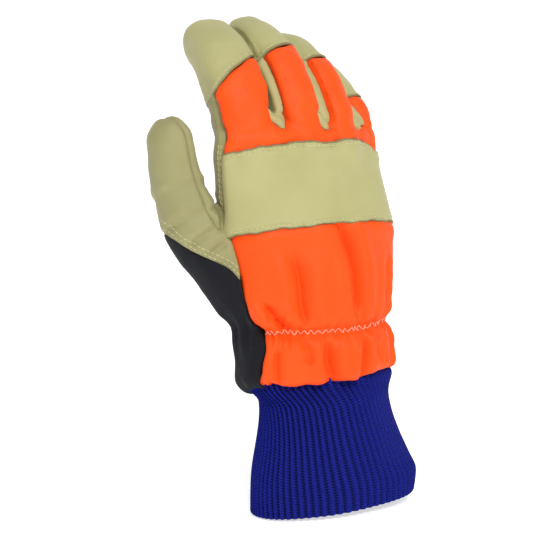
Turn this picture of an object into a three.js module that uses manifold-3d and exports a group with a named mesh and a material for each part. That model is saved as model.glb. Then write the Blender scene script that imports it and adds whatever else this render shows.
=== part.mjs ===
// A right-hand chainsaw glove, filled as if worn, standing on its knitted cuff with the fingers up.
// Millimetres, +Z up. The back of the hand faces -Y, the palm +Y, the thumb lies at -X.
// The origin is the centre of the wrist opening, in the plane of the cuff's lower edge.
import * as THREE from 'three';
import { mergeVertices } from 'three/addons/utils/BufferGeometryUtils.js';
import Module from 'manifold-3d';

const wasm = await Module();
wasm.setup();

// Driving dimensions of the hand's hollow
const palmWidth = 99;
const palmDepth = 48;
const hemHeight = 63;
const shellHeight = 146;
const knuckleDome = 9;

// Walls, edges and fits
const leatherWall = 2;
const domeWall = 1.5;
const clothWall = 1.7;
const paddedWall = 5.5;
const tipWall = 2.6;
const strapWall = 2.1;
const knitWall = 3.2;
const clearance = 0.3;
const seamGap = 0.4;
const cutDepth = 1.5;
const snapStep = 0.01;

// Knitted cuff
const cuffWidth = 94;
const cuffDepth = 42;
const cuffLap = 7;
const cuffEase = 3;
const cuffFit = 0.7;
const ribCount = 42;
const ribHeight = 0.8;

// Padded back, elastic and strap
const hemRise = 11;
const elasticHeight = 102;
const elasticDepth = 2.2;
const elasticBand = 5;
const gatherDepth = 0.7;
const gatherReach = 13;
const gatherCount = 26;
const backEdge = -98;
const strapHeight = 46;
const strapFoot = 153;
const strapPress = 0.9;
const strapArch = 7;
const strapEdge = 73;
const strapFarEdge = -90;
const elasticPinch = 3.2;
const deepestFold = 0.6;

// Thumb
const thumbLength = 150;
const thumbWidth = 30;
const thumbEnd = 12;
const thumbLeatherFoot = 0.46;
const thumbLeatherRise = 0.2;
const thumbSeam = 150;
const thumbFarSeam = 316;
const thumbSeamEnd = 1.75;
const thumbRoot = new THREE.Vector3(-20, 16, 75);

// Fingers: a standard finger, which each one follows by shares
const fingerLength = 92;
const fingerWidth = 22;
const fingerDepth = 22;
const fingerEnd = 11;
const knuckleHeight = 187;
const handLean = 13;
const fingerFoot = 0.12;
const backReach = 58;
const fingerPadding = 4.7;
const fingerEase = 1.2;
const frontEdge = 122;
const fingerSquare = 2.25;
const webWidth = 0.8;
const webDepth = 30;
const webRise = 6;
const domeFoot = 0.96;

const roundSquare = 2.1;
const radian = Math.PI / 180;

// Sections of the hand's hollow from the hem up; side and wide are shares of the palm's width,
// lean and deep of its depth, square is the section's exponent, turned its turn in degrees
const shellRows = [
  { up: 0, side: -0.055, lean: 0.19, wide: 0.9, deep: 1.06, square: 2.1, turned: 0 },
  { up: 0.15, side: -0.075, lean: 0.27, wide: 0.89, deep: 1.04, square: 2.1, turned: 0 },
  { up: 0.27, side: -0.09, lean: 0.33, wide: 0.9, deep: 0.98, square: 2.1, turned: 0 },
  { up: 0.4, side: -0.082, lean: 0.43, wide: 0.95, deep: 1.02, square: 2.2, turned: 1 },
  { up: 0.51, side: -0.072, lean: 0.51, wide: 0.99, deep: 1, square: 2.2, turned: 3 },
  { up: 0.64, side: -0.068, lean: 0.595, wide: 1.01, deep: 0.96, square: 2.2, turned: 5 },
  { up: 0.78, side: -0.088, lean: 0.66, wide: 1, deep: 0.87, square: 2.2, turned: 8 },
  { up: 0.92, side: -0.11, lean: 0.715, wide: 0.98, deep: 0.73, square: 2.15, turned: 11 },
  { up: 1, side: -0.118, lean: 0.735, wide: 0.95, deep: 0.63, square: 2.15, turned: 13 },
];

// Sections of the cuff's hollow from its lower edge up, as shares of the cuff's width and depth,
// and the tilt of each in degrees
const cuffRows = [
  { up: 0, side: 0, lean: 0, wide: 0.98, deep: 1, tilt: 3 },
  { up: 0.14, side: 0.012, lean: 0.01, wide: 0.99, deep: 1, tilt: 3 },
  { up: 0.28, side: 0.004, lean: 0.03, wide: 0.94, deep: 1.01, tilt: 2 },
  { up: 0.45, side: -0.008, lean: 0.07, wide: 0.85, deep: 1.02, tilt: 1 },
  { up: 0.62, side: -0.02, lean: 0.11, wide: 0.78, deep: 1.04, tilt: 0 },
  { up: 0.76, side: -0.03, lean: 0.15, wide: 0.755, deep: 1.06, tilt: 0 },
  { up: 1, side: -0.05, lean: 0.2, wide: 0.8, deep: 1.1, tilt: 0 },
];

// The thumb's course from its root: out, back and up are shares of its length,
// wide and deep are shares of its width
const thumbRows = [
  { along: 0, out: 0, back: 0, up: 0, wide: 1.05, deep: 1.05 },
  { along: 0.17, out: 0.085, back: 0.02, up: 0.15, wide: 0.92, deep: 1.05 },
  { along: 0.33, out: 0.175, back: 0.045, up: 0.29, wide: 0.94, deep: 1.08 },
  { along: 0.5, out: 0.275, back: 0.073, up: 0.44, wide: 1.0, deep: 1.02 },
  { along: 0.66, out: 0.36, back: 0.093, up: 0.58, wide: 0.94, deep: 0.92 },
  { along: 0.82, out: 0.412, back: 0.107, up: 0.74, wide: 0.84, deep: 0.82 },
  { along: 1, out: 0.428, back: 0.113, up: 0.87, wide: 0.72, deep: 0.72 },
];

// The fingers, from the thumb's side: side is the knuckle's place as a share of half the width
// there, sunk how deep it sits as a share of the finger's depth; long, wide and deep are shares
// of the standard finger, then its turn, its splay and its three bends in degrees
const fingers = [
  { name: 'index', side: -0.64, sunk: 0.02, long: 1, wide: 1.28, deep: 1.1,
    turned: -2, splay: -6, bends: [8, 22, 26], tipFrom: 0.59, tipSlant: -0.12 },
  { name: 'middle', side: 0.02, sunk: 0.02, long: 1.1, wide: 1.02, deep: 1.06,
    turned: 6, splay: -4, bends: [14, 22, 24], tipFrom: 0.67, tipSlant: -0.04 },
  { name: 'ring', side: 0.5, sunk: 0.06, long: 1.03, wide: 0.9, deep: 1,
    turned: 10, splay: -1, bends: [19, 22, 26], tipFrom: 0.65, tipSlant: -0.03 },
  { name: 'little', side: 0.9, sunk: 0.5, long: 0.9, wide: 0.8, deep: 0.88,
    turned: 12, splay: 2, bends: [26, 22, 22], tipFrom: 0.43, tipSlant: -0.03 },
];

// Where along a finger its three joints bend, and how gradually
const jointPlaces = [0.22, 0.52, 0.78];
const jointSpread = 0.3;
const fingerRows = [
  { along: 0, wide: 0.8, deep: 0.9 },
  { along: 0.3, wide: 1, deep: 1.02 },
  { along: 0.6, wide: 1, deep: 1 },
  { along: 0.85, wide: 1, deep: 0.96 },
  { along: 1, wide: 0.95, deep: 0.9 },
];

// Sewn channels and folds of the padded back: angle round the hand at the top and the foot,
// top and foot as shares of the shell's height, depth in wall shares, width in degrees
const channels = [
  { topAngle: -11, footAngle: -23, foot: 0.25, top: 0.66, deep: 0.5, wide: 5 },
  { topAngle: 18, footAngle: 8, foot: 0.24, top: 0.52, deep: 0.35, wide: 5 },
  { topAngle: -52, footAngle: -54, foot: 0.27, top: 0.52, deep: 0.22, wide: 5 },
  { topAngle: 40, footAngle: 22, foot: 0.24, top: 0.38, deep: 0.28, wide: 6 },
  { topAngle: 0, footAngle: 3, foot: 0.05, top: 0.22, deep: 0.5, wide: 5 },
  { topAngle: -24, footAngle: -20, foot: 0.05, top: 0.22, deep: 0.45, wide: 5 },
  { topAngle: -55, footAngle: -52, foot: 0.05, top: 0.22, deep: 0.35, wide: 5 },
  { topAngle: 30, footAngle: 40, foot: 0.05, top: 0.22, deep: 0.3, wide: 6 },
];

// Angle of the back's edge on the thumb side, by share of the shell's height
const backEdgeRows = [
  { up: 0, angle: 60 },
  { up: 0.14, angle: 54 },
  { up: 0.22, angle: 46 },
  { up: 0.36, angle: 62 },
  { up: 0.6, angle: 76 },
  { up: 0.9, angle: 77 },
  { up: 1, angle: 76 },
];

// Height of the leather's lower edge on the body, and of the dark cloth's dip at the thumb
const leatherFoot = 0.45;
const dipStart = 35;
const dipShape = 1.5;
const rootFoot = 0.05;
const rootTop = 0.66;

// Reads every column of a table at a place between its rows, on a smooth curve through them
function readTable(rows, key, place) {
  const last = rows.length - 1;
  const at = Math.min(Math.max(place, rows[0][key]), rows[last][key]);
  let row = 0;
  while (row < last - 1 && at > rows[row + 1][key]) row += 1;
  const span = rows[row + 1][key] - rows[row][key];
  const share = (at - rows[row][key]) / span;
  const read = { [key]: at };
  for (const column of Object.keys(rows[row]).filter((name) => name !== key)) {
    const slope = (k) => {
      const before = rows[Math.max(k - 1, 0)];
      const after = rows[Math.min(k + 1, last)];
      return (after[column] - before[column]) / (after[key] - before[key]) * span;
    };
    const rise = rows[row + 1][column] - rows[row][column];
    const rest = 1 - share;
    const curve = rest * (slope(row) - rise) - share * (slope(row + 1) - rise);
    read[column] = rows[row][column] + share * (rise + rest * curve);
  }
  return read;
}

const smooth = (t) => {
  const s = Math.min(Math.max(t, 0), 1);
  return s * s * (3 - 2 * s);
};
const mix = (a, b, t) => a + (b - a) * t;
const power = (value, square) => Math.sign(value) * Math.abs(value) ** (2 / square);

// A point of a tube: angle 0 is its back, 90 degrees its thumb side and 180 its palm side.
// along runs from 0 to 1 up the tube and from 1 to 2 over its rounded end
function tubePoint(tube, along, angle, offset) {
  const section = tube.section(Math.min(along, 1));
  const round = Math.max(along - 1, 0) * Math.PI / 2;
  const shrink = Math.cos(round);
  const reach = along > 1 ? Math.sin(round) * (tube.end + offset) : Math.min(along, 0) * tube.length;
  const across = power(Math.sin(angle * radian), section.square) * (section.wide + offset) * shrink;
  const through = power(Math.cos(angle * radian), section.square) * (section.deep + offset) * shrink;
  return section.centre.clone()
    .addScaledVector(section.side, -across)
    .addScaledVector(section.palm, -through)
    .addScaledVector(section.forward, reach);
}

// Level axes turned about the vertical
function levelAxes(degrees) {
  const angle = degrees * radian;
  return {
    side: new THREE.Vector3(Math.cos(angle), Math.sin(angle), 0),
    palm: new THREE.Vector3(-Math.sin(angle), Math.cos(angle), 0),
    forward: new THREE.Vector3(0, 0, 1),
  };
}

// The hand's body
const shell = {
  length: shellHeight,
  end: knuckleDome,
  section(along) {
    const row = readTable(shellRows, 'up', along);
    return {
      ...levelAxes(row.turned),
      centre: new THREE.Vector3(row.side * palmWidth, row.lean * palmDepth,
        hemHeight + row.up * shellHeight),
      wide: row.wide * palmWidth / 2,
      deep: row.deep * palmDepth / 2,
      square: row.square,
    };
  },
};
const shellShare = (height) => (height - hemHeight) / shellHeight;

// The cuff's hollow: its own table, easing into the shell's section where the cuff is sewn in
const cuffHeight = hemHeight + hemRise + cuffLap;
const cuff = {
  length: cuffHeight,
  end: 3,
  section(along) {
    const row = readTable(cuffRows, 'up', along);
    const height = Math.max(along, 0) * cuffHeight;
    const seat = shell.section(Math.max(shellShare(height), 0));
    const seated = smooth((height - hemHeight + cuffEase) / (hemRise + cuffEase - 2));
    const inset = cuffFit + knitWall + ribHeight;
    const tilt = row.tilt * radian;
    return {
      side: new THREE.Vector3(Math.cos(tilt), 0, Math.sin(tilt)),
      palm: new THREE.Vector3(0, 1, 0),
      forward: new THREE.Vector3(-Math.sin(tilt), 0, Math.cos(tilt)),
      centre: new THREE.Vector3(mix(row.side * cuffWidth, seat.centre.x, seated),
        mix(row.lean * cuffDepth, seat.centre.y, seated), height),
      wide: mix(row.wide * cuffWidth / 2, seat.wide - inset, seated),
      deep: mix(row.deep * cuffDepth / 2, seat.deep - inset, seated),
      square: roundSquare,
    };
  },
};

// A finger's course: steps along a line that bends at its joints
const courseSteps = 40;
function fingerTube(finger) {
  const length = fingerLength * finger.long;
  const turned = finger.turned * radian;
  const splay = finger.splay * radian;
  const palm = new THREE.Vector3(-Math.sin(turned), Math.cos(turned), 0);
  const up = new THREE.Vector3(Math.sin(splay), 0, Math.cos(splay));
  up.addScaledVector(palm, -up.dot(palm)).normalize();
  const side = new THREE.Vector3().crossVectors(palm, up);
  const bendAt = (along) => {
    let bend = handLean;
    finger.bends.forEach((angle, joint) => {
      bend += angle * smooth((along - jointPlaces[joint]) / jointSpread + 0.5);
    });
    return bend * radian;
  };
  const knuckle = shell.section(shellShare(knuckleHeight));
  const inside = Math.min(Math.abs(finger.side), 0.98);
  const surface = (1 - inside ** knuckle.square) ** (1 / knuckle.square) * knuckle.deep;
  const deep = fingerDepth * finger.deep / 2;
  const footDeep = deep * fingerRows[0].deep;
  const base = knuckle.centre.clone()
    .addScaledVector(knuckle.side, finger.side * knuckle.wide)
    .addScaledVector(knuckle.palm, footDeep + deep * finger.sunk - surface);
  const course = [base];
  for (let step = 0; step < courseSteps; step += 1) {
    const bend = bendAt((step + 0.5) / courseSteps);
    course.push(course[step].clone()
      .addScaledVector(up, Math.cos(bend) * length / courseSteps)
      .addScaledVector(palm, Math.sin(bend) * length / courseSteps));
  }
  return {
    length,
    end: fingerEnd * Math.sqrt(finger.wide),
    section(along) {
      const place = Math.max(along, 0) * courseSteps;
      const step = Math.min(Math.floor(place), courseSteps - 1);
      const row = readTable(fingerRows, 'along', along);
      const bend = bendAt(along);
      return {
        side,
        palm: palm.clone().multiplyScalar(Math.cos(bend)).addScaledVector(up, -Math.sin(bend)),
        forward: up.clone().multiplyScalar(Math.cos(bend)).addScaledVector(palm, Math.sin(bend)),
        centre: course[step].clone().lerp(course[step + 1], place - step),
        wide: row.wide * fingerWidth * finger.wide / 2,
        deep: row.deep * deep,
        square: fingerSquare,
      };
    },
  };
}

const fingerTubes = fingers.map(fingerTube);

// The thumb follows its table of places
const thumbPlace = (along) => {
  const row = readTable(thumbRows, 'along', along);
  return new THREE.Vector3(-row.out, row.back, row.up).multiplyScalar(thumbLength).add(thumbRoot);
};
const thumb = {
  length: thumbLength,
  end: thumbEnd,
  section(along) {
    const row = readTable(thumbRows, 'along', along);
    const step = 0.02;
    const low = Math.min(Math.max(along - step, 0), 1 - 2 * step);
    const forward = thumbPlace(low + 2 * step).sub(thumbPlace(low)).normalize();
    const palm = new THREE.Vector3(0, 1, 0);
    palm.addScaledVector(forward, -palm.dot(forward)).normalize();
    return {
      side: new THREE.Vector3().crossVectors(palm, forward),
      palm,
      forward,
      centre: thumbPlace(along),
      wide: row.wide * thumbWidth / 2,
      deep: row.deep * thumbWidth / 2,
      square: roundSquare,
    };
  },
};

// Joins equal points and leaves out the triangles that this closes up
function mergedGeometry(positions, triangles) {
  const geometry = new THREE.BufferGeometry();
  geometry.setAttribute('position', new THREE.Float32BufferAttribute(positions, 3));
  geometry.setIndex(Array.from(triangles));
  const merged = mergeVertices(geometry, 1e-4);
  const source = merged.index.array;
  const index = [];
  for (let t = 0; t < source.length; t += 3) {
    const [a, b, c] = [source[t], source[t + 1], source[t + 2]];
    if (a !== b && b !== c && c !== a) index.push(a, b, c);
  }
  merged.setIndex(index);
  return merged;
}

// A closed solid from rows of points; rows that end in one point are poles
function geometryToSolid(positions, triangles) {
  const geometry = mergedGeometry(positions, triangles);
  return new wasm.Manifold(new wasm.Mesh({
    numProp: 3,
    vertProperties: new Float32Array(geometry.attributes.position.array),
    triVerts: new Uint32Array(geometry.index.array),
  }));
}

// A whole round of a tube, closed at its foot; rows lie along its straight part and round ones
// over its rounded end
function roundSolid(tube, { start = () => 0, end = 2, offset, around, rows, round = 3 }) {
  const positions = [];
  const triangles = [];
  const offsetAt = typeof offset === 'function' ? offset : () => offset;
  const count = end > 1 ? rows + round : rows;
  for (let row = 0; row <= count; row += 1) {
    for (let i = 0; i < around; i += 1) {
      const angle = i / around * 360;
      const along = row <= rows
        ? mix(start(angle), Math.min(end, 1), row / rows)
        : mix(1, end, (row - rows) / round);
      positions.push(...tubePoint(tube, along, angle, offsetAt(along, angle)).toArray());
    }
  }
  const foot = tubePoint(tube, start(0), 0, 0).lerp(tubePoint(tube, start(180), 180, 0), 0.5);
  const top = tubePoint(tube, end, 0, 0).lerp(tubePoint(tube, end, 180, 0), 0.5);
  if (end === 2) top.copy(tubePoint(tube, 2, 0, offsetAt(2, 0)));
  positions.push(...foot.toArray(), ...top.toArray());
  const footIndex = (count + 1) * around;
  for (let i = 0; i < around; i += 1) {
    const next = (i + 1) % around;
    for (let row = 0; row < count; row += 1) {
      const low = row * around;
      const high = low + around;
      triangles.push(low + i, high + i, low + next, low + next, high + i, high + next);
    }
    triangles.push(footIndex, i, next);
    triangles.push(footIndex + 1, count * around + next, count * around + i);
  }
  return geometryToSolid(positions, triangles);
}

// A wall over part of a tube, between two angles and two places along it; its rows are evenly
// spread, or stand at the places given
function wallSolid(tube, { from, to, start, end, inner, outer, across, rows, places }) {
  const value = (size, ...place) => (typeof size === 'function' ? size(...place) : size);
  const positions = [];
  const triangles = [];
  for (const side of [outer, inner]) {
    for (let row = 0; row <= rows; row += 1) {
      for (let i = 0; i <= across; i += 1) {
        const share = i / across;
        const place = places ? places[row] : row / rows;
        const along = mix(value(start, share), value(end, share), place);
        const angle = mix(value(from, along), value(to, along), share);
        positions.push(...tubePoint(tube, along, angle, value(side, along, angle)).toArray());
      }
    }
  }
  const line = across + 1;
  const layer = line * (rows + 1);
  const quad = (a, b, c, d) => triangles.push(a, b, c, a, c, d);
  for (let row = 0; row < rows; row += 1) {
    for (let i = 0; i < across; i += 1) {
      const a = row * line + i;
      quad(a, a + line, a + line + 1, a + 1);
      quad(layer + a, layer + a + 1, layer + a + line + 1, layer + a + line);
    }
    const left = row * line;
    const right = left + across;
    quad(left, layer + left, layer + left + line, left + line);
    quad(right, right + line, layer + right + line, layer + right);
  }
  for (let i = 0; i < across; i += 1) {
    const top = rows * line + i;
    quad(i, i + 1, layer + i + 1, layer + i);
    quad(top, layer + top, layer + top + 1, top + 1);
  }
  return geometryToSolid(positions, triangles);
}

const join = (solids) => solids.reduce((whole, solid) => whole.add(solid));

// Angles across the padded back and how it swells, sinks at channels and gathers at the elastic
const backEdgeAt = (along) => readTable(backEdgeRows, 'up', along).angle;
const elasticShare = shellShare(elasticHeight);
const strapFootShare = shellShare(strapFoot);

function channelDepth(along, angle) {
  let depth = 0;
  for (const channel of channels) {
    const share = (along - channel.foot) / (channel.top - channel.foot);
    const middle = mix(channel.footAngle, channel.topAngle, share);
    const near = Math.exp(-(((angle - middle) / channel.wide) ** 2));
    const fade = smooth(share * 5) * smooth((1 - share) * 5);
    depth += channel.deep * near * fade;
  }
  return Math.min(depth, deepestFold) * paddedWall;
}

function paddedOffset(along, angle) {
  const fromElastic = (along - elasticShare) * shellHeight;
  const pinch = Math.exp(-((fromElastic / elasticPinch) ** 2));
  const reach = Math.exp(-((fromElastic / gatherReach) ** 2));
  const pressed = smooth((along - strapFootShare) * 30 + 1);
  const gathers = gatherDepth * reach * Math.cos(gatherCount * angle * radian);
  const folds = (1 - pressed) * (gathers - channelDepth(along, angle));
  return paddedWall - elasticDepth * pinch + folds - pressed * strapPress;
}

// The back's hem stands higher than the hem of the navy cloth, which dips on the thumb's side
const backHem = hemRise / shellHeight;
const heelHem = (angle) => (
  backHem * (1 - Math.max(Math.sin((angle - dipStart) * radian), 0) ** dipShape));

// Rough solids of each piece; a grown one is larger all round by a margin, to cut its neighbours
const degreesFor = (margin, tube) => margin / (tube.section(0.7).wide * radian);

function strapSolid(grow) {
  const under = paddedWall;
  const foot = (share) => strapFootShare + strapArch * Math.sin(share * Math.PI) / shellHeight;
  const margin = grow / shellHeight;
  return wallSolid(shell, {
    from: strapFarEdge - degreesFor(grow, shell),
    to: strapEdge + degreesFor(grow, shell),
    start: (share) => foot(share) - margin,
    end: (share) => foot(share) + strapHeight / shellHeight + margin,
    inner: under - grow,
    outer: under + strapWall + grow,
    across: 18,
    rows: 3,
  });
}

// Heights of the rows of the padded back: closer at the elastic, wider under the strap
const backCourses = [
  ...[0, 0.35, 0.7, 1].map((share) => mix(hemHeight + hemRise, elasticHeight - elasticBand, share)),
  elasticHeight,
  ...[0, 0.18, 0.4, 0.66, 0.95].map((share) => mix(elasticHeight + elasticBand, strapFoot, share)),
  ...[0.15, 0.6, 1.1].map((share) => strapFoot + share * strapHeight),
  hemHeight + shellHeight,
].map(shellShare);
const backEnd = 1.12;

function backSolid(grow) {
  const margin = degreesFor(grow, shell);
  const [hem, ...courses] = backCourses;
  const pieces = [wallSolid(shell, {
    from: backEdge - margin,
    to: (along) => backEdgeAt(along) + margin,
    start: 0,
    end: 1,
    inner: -cutDepth - grow,
    outer: (along, angle) => paddedOffset(along, angle) + grow,
    across: 34,
    rows: backCourses.length,
    places: [hem - grow / shellHeight, ...courses, backEnd + grow / knuckleDome],
  })];
  fingers.forEach((finger, i) => {
    const tube = fingerTubes[i];
    const reach = backReach + degreesFor(grow, tube);
    pieces.push(wallSolid(tube, {
      from: -reach,
      to: reach,
      start: fingerFoot - grow / tube.length,
      end: (share) => tipStart(finger, mix(-reach, reach, share)) + grow / tube.length,
      inner: -cutDepth,
      outer: (along) => fingerPadding - fingerEase * smooth((along - finger.tipFrom) * 8 + 1) + grow,
      across: 5,
      rows: 5,
    }));
  });
  return join(pieces);
}

const tipStart = (finger, angle) => finger.tipFrom + finger.tipSlant * Math.sin(angle * radian);

function tipSolid(i, grow) {
  const finger = fingers[i];
  const tube = fingerTubes[i];
  const low = (seamGap - grow) / tube.length;
  return roundSolid(tube, {
    start: (angle) => low + tipStart(finger, angle),
    offset: tipWall + grow,
    around: 12,
    rows: 3,
  });
}

// A leather side of a finger, between its padded back and its cap
function sideSolid(i, from, to, grow) {
  const tube = fingerTubes[i];
  const inset = degreesFor(seamGap - grow, tube);
  const low = from + inset;
  const high = to - inset;
  return wallSolid(tube, {
    from: low,
    to: high,
    start: fingerFoot - grow / tube.length,
    end: (share) => tipStart(fingers[i], mix(low, high, share)) + grow / tube.length,
    inner: -cutDepth,
    outer: leatherWall + grow,
    across: Math.max(3, Math.round((to - from) / 26)),
    rows: 5,
  });
}

// The leather between two fingers: both side walls and the web between them
function fourchetteSolid(i, grow) {
  const a = fingerTubes[i].section(0.25).centre;
  const b = fingerTubes[i + 1].section(0.25).centre;
  const box = new THREE.BoxGeometry(a.distanceTo(b) * webWidth + grow * 2, webDepth + grow * 2, 30);
  const web = new THREE.Mesh(box);
  web.rotation.z = Math.atan2(b.y - a.y, b.x - a.x);
  web.position.copy(a).lerp(b, 0.5).setZ(shell.section(1).centre.z + webRise);
  web.updateMatrixWorld();
  box.applyMatrix4(web.matrixWorld);
  box.deleteAttribute('normal');
  box.deleteAttribute('uv');
  const block = geometryToSolid(box.attributes.position.array, Array.from(box.index.array));
  const dome = roundSolid(shell, {
    start: () => domeFoot, offset: domeWall + grow, around: 20, rows: 1,
  });
  return join([block.intersect(dome), sideSolid(i, -frontEdge, -backReach, grow),
    sideSolid(i + 1, backReach, frontEdge, grow)]);
}

const thumbFoot = (angle) => thumbLeatherFoot + thumbLeatherRise * Math.sin(angle * radian);

function thumbFrontSolid(grow) {
  const margin = degreesFor(grow, thumb);
  const from = thumbSeam - margin;
  const to = thumbFarSeam + margin;
  return wallSolid(thumb, {
    from,
    to,
    start: (share) => thumbFoot(mix(from, to, share)) - grow / thumbLength,
    end: thumbSeamEnd + grow / 20,
    inner: -cutDepth,
    outer: leatherWall + grow,
    across: 7,
    rows: 7,
  });
}

function thumbBackSolid(grow) {
  return roundSolid(thumb, {
    start: (angle) => thumbFoot(angle) - grow / thumbLength,
    offset: leatherWall + grow,
    around: 14,
    rows: 6,
  });
}

function palmSolid(grow) {
  const seam = degreesFor(seamGap, shell);
  const body = wallSolid(shell, {
    from: (along) => backEdgeAt(along) + seam,
    to: 360 + backEdge - seam,
    start: leatherFoot - grow / shellHeight,
    end: 1.2,
    inner: -cutDepth,
    outer: leatherWall + grow,
    across: 14,
    rows: 4,
  });
  const dome = roundSolid(shell, {
    start: () => domeFoot, offset: domeWall + grow, around: 20, rows: 1,
  });
  const fronts = fingers.map((finger, i) => [
    i === 0 ? backReach : frontEdge,
    360 - (i === fingers.length - 1 ? backReach : frontEdge),
  ]);
  return join([body, dome, ...fronts.map(([from, to], i) => sideSolid(i, from, to, grow))]);
}

function heelSolid(grow) {
  const seam = degreesFor(seamGap, shell);
  const body = wallSolid(shell, {
    from: (along) => backEdgeAt(along) + seam,
    to: 360 + backEdge - seam,
    start: (share) => heelHem(mix(backEdgeAt(0), 360 + backEdge, share)),
    end: leatherFoot,
    inner: -cutDepth,
    outer: clothWall + grow,
    across: 14,
    rows: 4,
  });
  const root = roundSolid(thumb, {
    start: () => rootFoot, end: rootTop, offset: clothWall + grow, around: 14, rows: 5,
  });
  return join([body, root]);
}

// The hollow that the hand fills
const bodyHollow = (offset) => roundSolid(shell, { start: () => -0.06, offset, around: 26, rows: 8 });
const hollow = join([
  bodyHollow(0),
  roundSolid(thumb, { offset: 0, around: 12, rows: 6 }),
  ...fingerTubes.map((tube) => roundSolid(tube, {
    start: () => fingerFoot, offset: 0, around: 10, rows: 5,
  })),
]);

// The vertices and triangles of the largest body that a cut leaves, without its crumbs
function mainBody(solid) {
  const { vertProperties, triVerts } = solid.getMesh();
  const owner = Array.from({ length: vertProperties.length / 3 }, (_, vertex) => vertex);
  const find = (vertex) => {
    let top = vertex;
    while (owner[top] !== top) top = owner[top];
    owner[vertex] = top;
    return top;
  };
  for (let t = 0; t < triVerts.length; t += 3) {
    owner[find(triVerts[t + 1])] = find(triVerts[t]);
    owner[find(triVerts[t + 2])] = find(triVerts[t]);
  }
  const bodies = new Map();
  for (let t = 0; t < triVerts.length; t += 3) {
    const body = find(triVerts[t]);
    if (!bodies.has(body)) bodies.set(body, []);
    bodies.get(body).push(triVerts[t], triVerts[t + 1], triVerts[t + 2]);
  }
  const index = [...bodies.values()].sort((a, b) => b.length - a.length)[0];
  return { positions: vertProperties, index };
}

// The cuff ends inside the shell's hem, which the walls keep clear of
function cuffSolid(walls) {
  const ribbed = (along, angle) => knitWall + ribHeight * Math.cos(ribCount * angle * radian);
  const outside = roundSolid(cuff, { end: 1, offset: ribbed, around: ribCount * 2, rows: 6 });
  const inside = roundSolid(cuff, {
    start: () => -0.05, end: 1.5, offset: 0, around: 26, rows: 7, round: 1,
  });
  return outside.subtract(inside).subtract(walls.subtract(bodyHollow(-clearance)));
}

// Materials, by the look of each
const orangePadding = { color: 0xff5f22, roughness: 0.6, metalness: 0 };
const creamLeather = { color: 0xb8b47a, roughness: 0.62, metalness: 0 };
const navyCloth = { color: 0x1e1f28, roughness: 0.85, metalness: 0 };
const blueKnit = { color: 0x1b1b96, roughness: 0.9, metalness: 0 };

// Every piece in the order in which it cuts the ones after it
const pieces = [
  { name: 'knuckle_strap', look: creamLeather, rough: strapSolid },
  { name: 'back_panel', look: orangePadding, rough: backSolid },
  ...fingers.map((finger, i) => (
    { name: `${finger.name}_tip`, look: creamLeather, rough: (grow) => tipSolid(i, grow) })),
  { name: 'thumb_front', look: creamLeather, rough: thumbFrontSolid },
  { name: 'thumb_back', look: creamLeather, rough: thumbBackSolid },
  ...fingers.slice(0, -1).map((finger, i) => (
    { name: `fourchette_${finger.name}_${fingers[i + 1].name}`, look: creamLeather,
      rough: (grow) => fourchetteSolid(i, grow) })),
  { name: 'palm_panel', look: creamLeather, rough: palmSolid },
  { name: 'heel_panel', look: navyCloth, rough: heelSolid },
];

function meshOf(name, solid, look) {
  const { positions, index } = mainBody(solid);
  const snapped = Array.from(positions, (value) => Math.round(value / snapStep) * snapStep);
  const geometry = mergedGeometry(snapped, index);
  const mesh = new THREE.Mesh(geometry, new THREE.MeshStandardMaterial(look));
  mesh.name = name;
  return mesh;
}

const glove = new THREE.Group();
let taken = hollow;
for (const piece of pieces) {
  glove.add(meshOf(piece.name, piece.rough(0).subtract(taken), piece.look));
  taken = taken.add(piece.rough(clearance));
}
const wallsAbove = join([backSolid(clearance), heelSolid(clearance)]);
glove.add(meshOf('knit_cuff', cuffSolid(wallsAbove), blueKnit));

export default glove;
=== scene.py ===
"""A chainsaw glove for the right hand, filled as if worn, standing on its knitted cuff.

The shapes are worked out in millimetres on rounded tubes for the hand, the thumb, the fingers and
the cuff, then cut into panels, padded and stitched. The pieces themselves are in metres.
"""
import functools
import math

import bpy
import numpy as np
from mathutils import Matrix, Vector
from mathutils.bvhtree import BVHTree
from mathutils.kdtree import KDTree


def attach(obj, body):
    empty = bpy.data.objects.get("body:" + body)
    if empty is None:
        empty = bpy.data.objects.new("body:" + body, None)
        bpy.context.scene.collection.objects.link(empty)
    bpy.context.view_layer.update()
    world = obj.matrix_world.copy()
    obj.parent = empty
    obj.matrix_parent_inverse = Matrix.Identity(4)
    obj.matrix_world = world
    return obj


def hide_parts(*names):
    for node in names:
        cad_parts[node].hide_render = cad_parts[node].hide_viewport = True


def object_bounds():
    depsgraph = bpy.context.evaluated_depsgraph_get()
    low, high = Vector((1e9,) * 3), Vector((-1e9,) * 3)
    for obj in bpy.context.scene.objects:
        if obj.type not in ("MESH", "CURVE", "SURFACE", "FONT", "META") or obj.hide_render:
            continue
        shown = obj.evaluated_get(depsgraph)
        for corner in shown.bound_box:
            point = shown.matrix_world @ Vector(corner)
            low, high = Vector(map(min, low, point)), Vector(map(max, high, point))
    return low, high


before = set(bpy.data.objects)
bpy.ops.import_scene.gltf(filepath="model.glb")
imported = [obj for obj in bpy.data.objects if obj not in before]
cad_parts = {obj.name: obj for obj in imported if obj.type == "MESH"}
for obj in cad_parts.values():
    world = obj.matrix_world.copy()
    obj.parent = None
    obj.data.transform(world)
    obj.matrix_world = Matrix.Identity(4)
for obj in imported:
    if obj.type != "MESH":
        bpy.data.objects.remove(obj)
CAD_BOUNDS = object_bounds()

bl_info = {
    "name": "Chainsaw Glove",
    "version": (1, 0, 0),
    "blender": (4, 5, 0),
    "location": "View3D > Sidebar > Glove",
    "description": "Builds a padded chainsaw glove with leather palm, strap and knitted cuff",
    "category": "Add Mesh",
}

MM = 0.001

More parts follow.
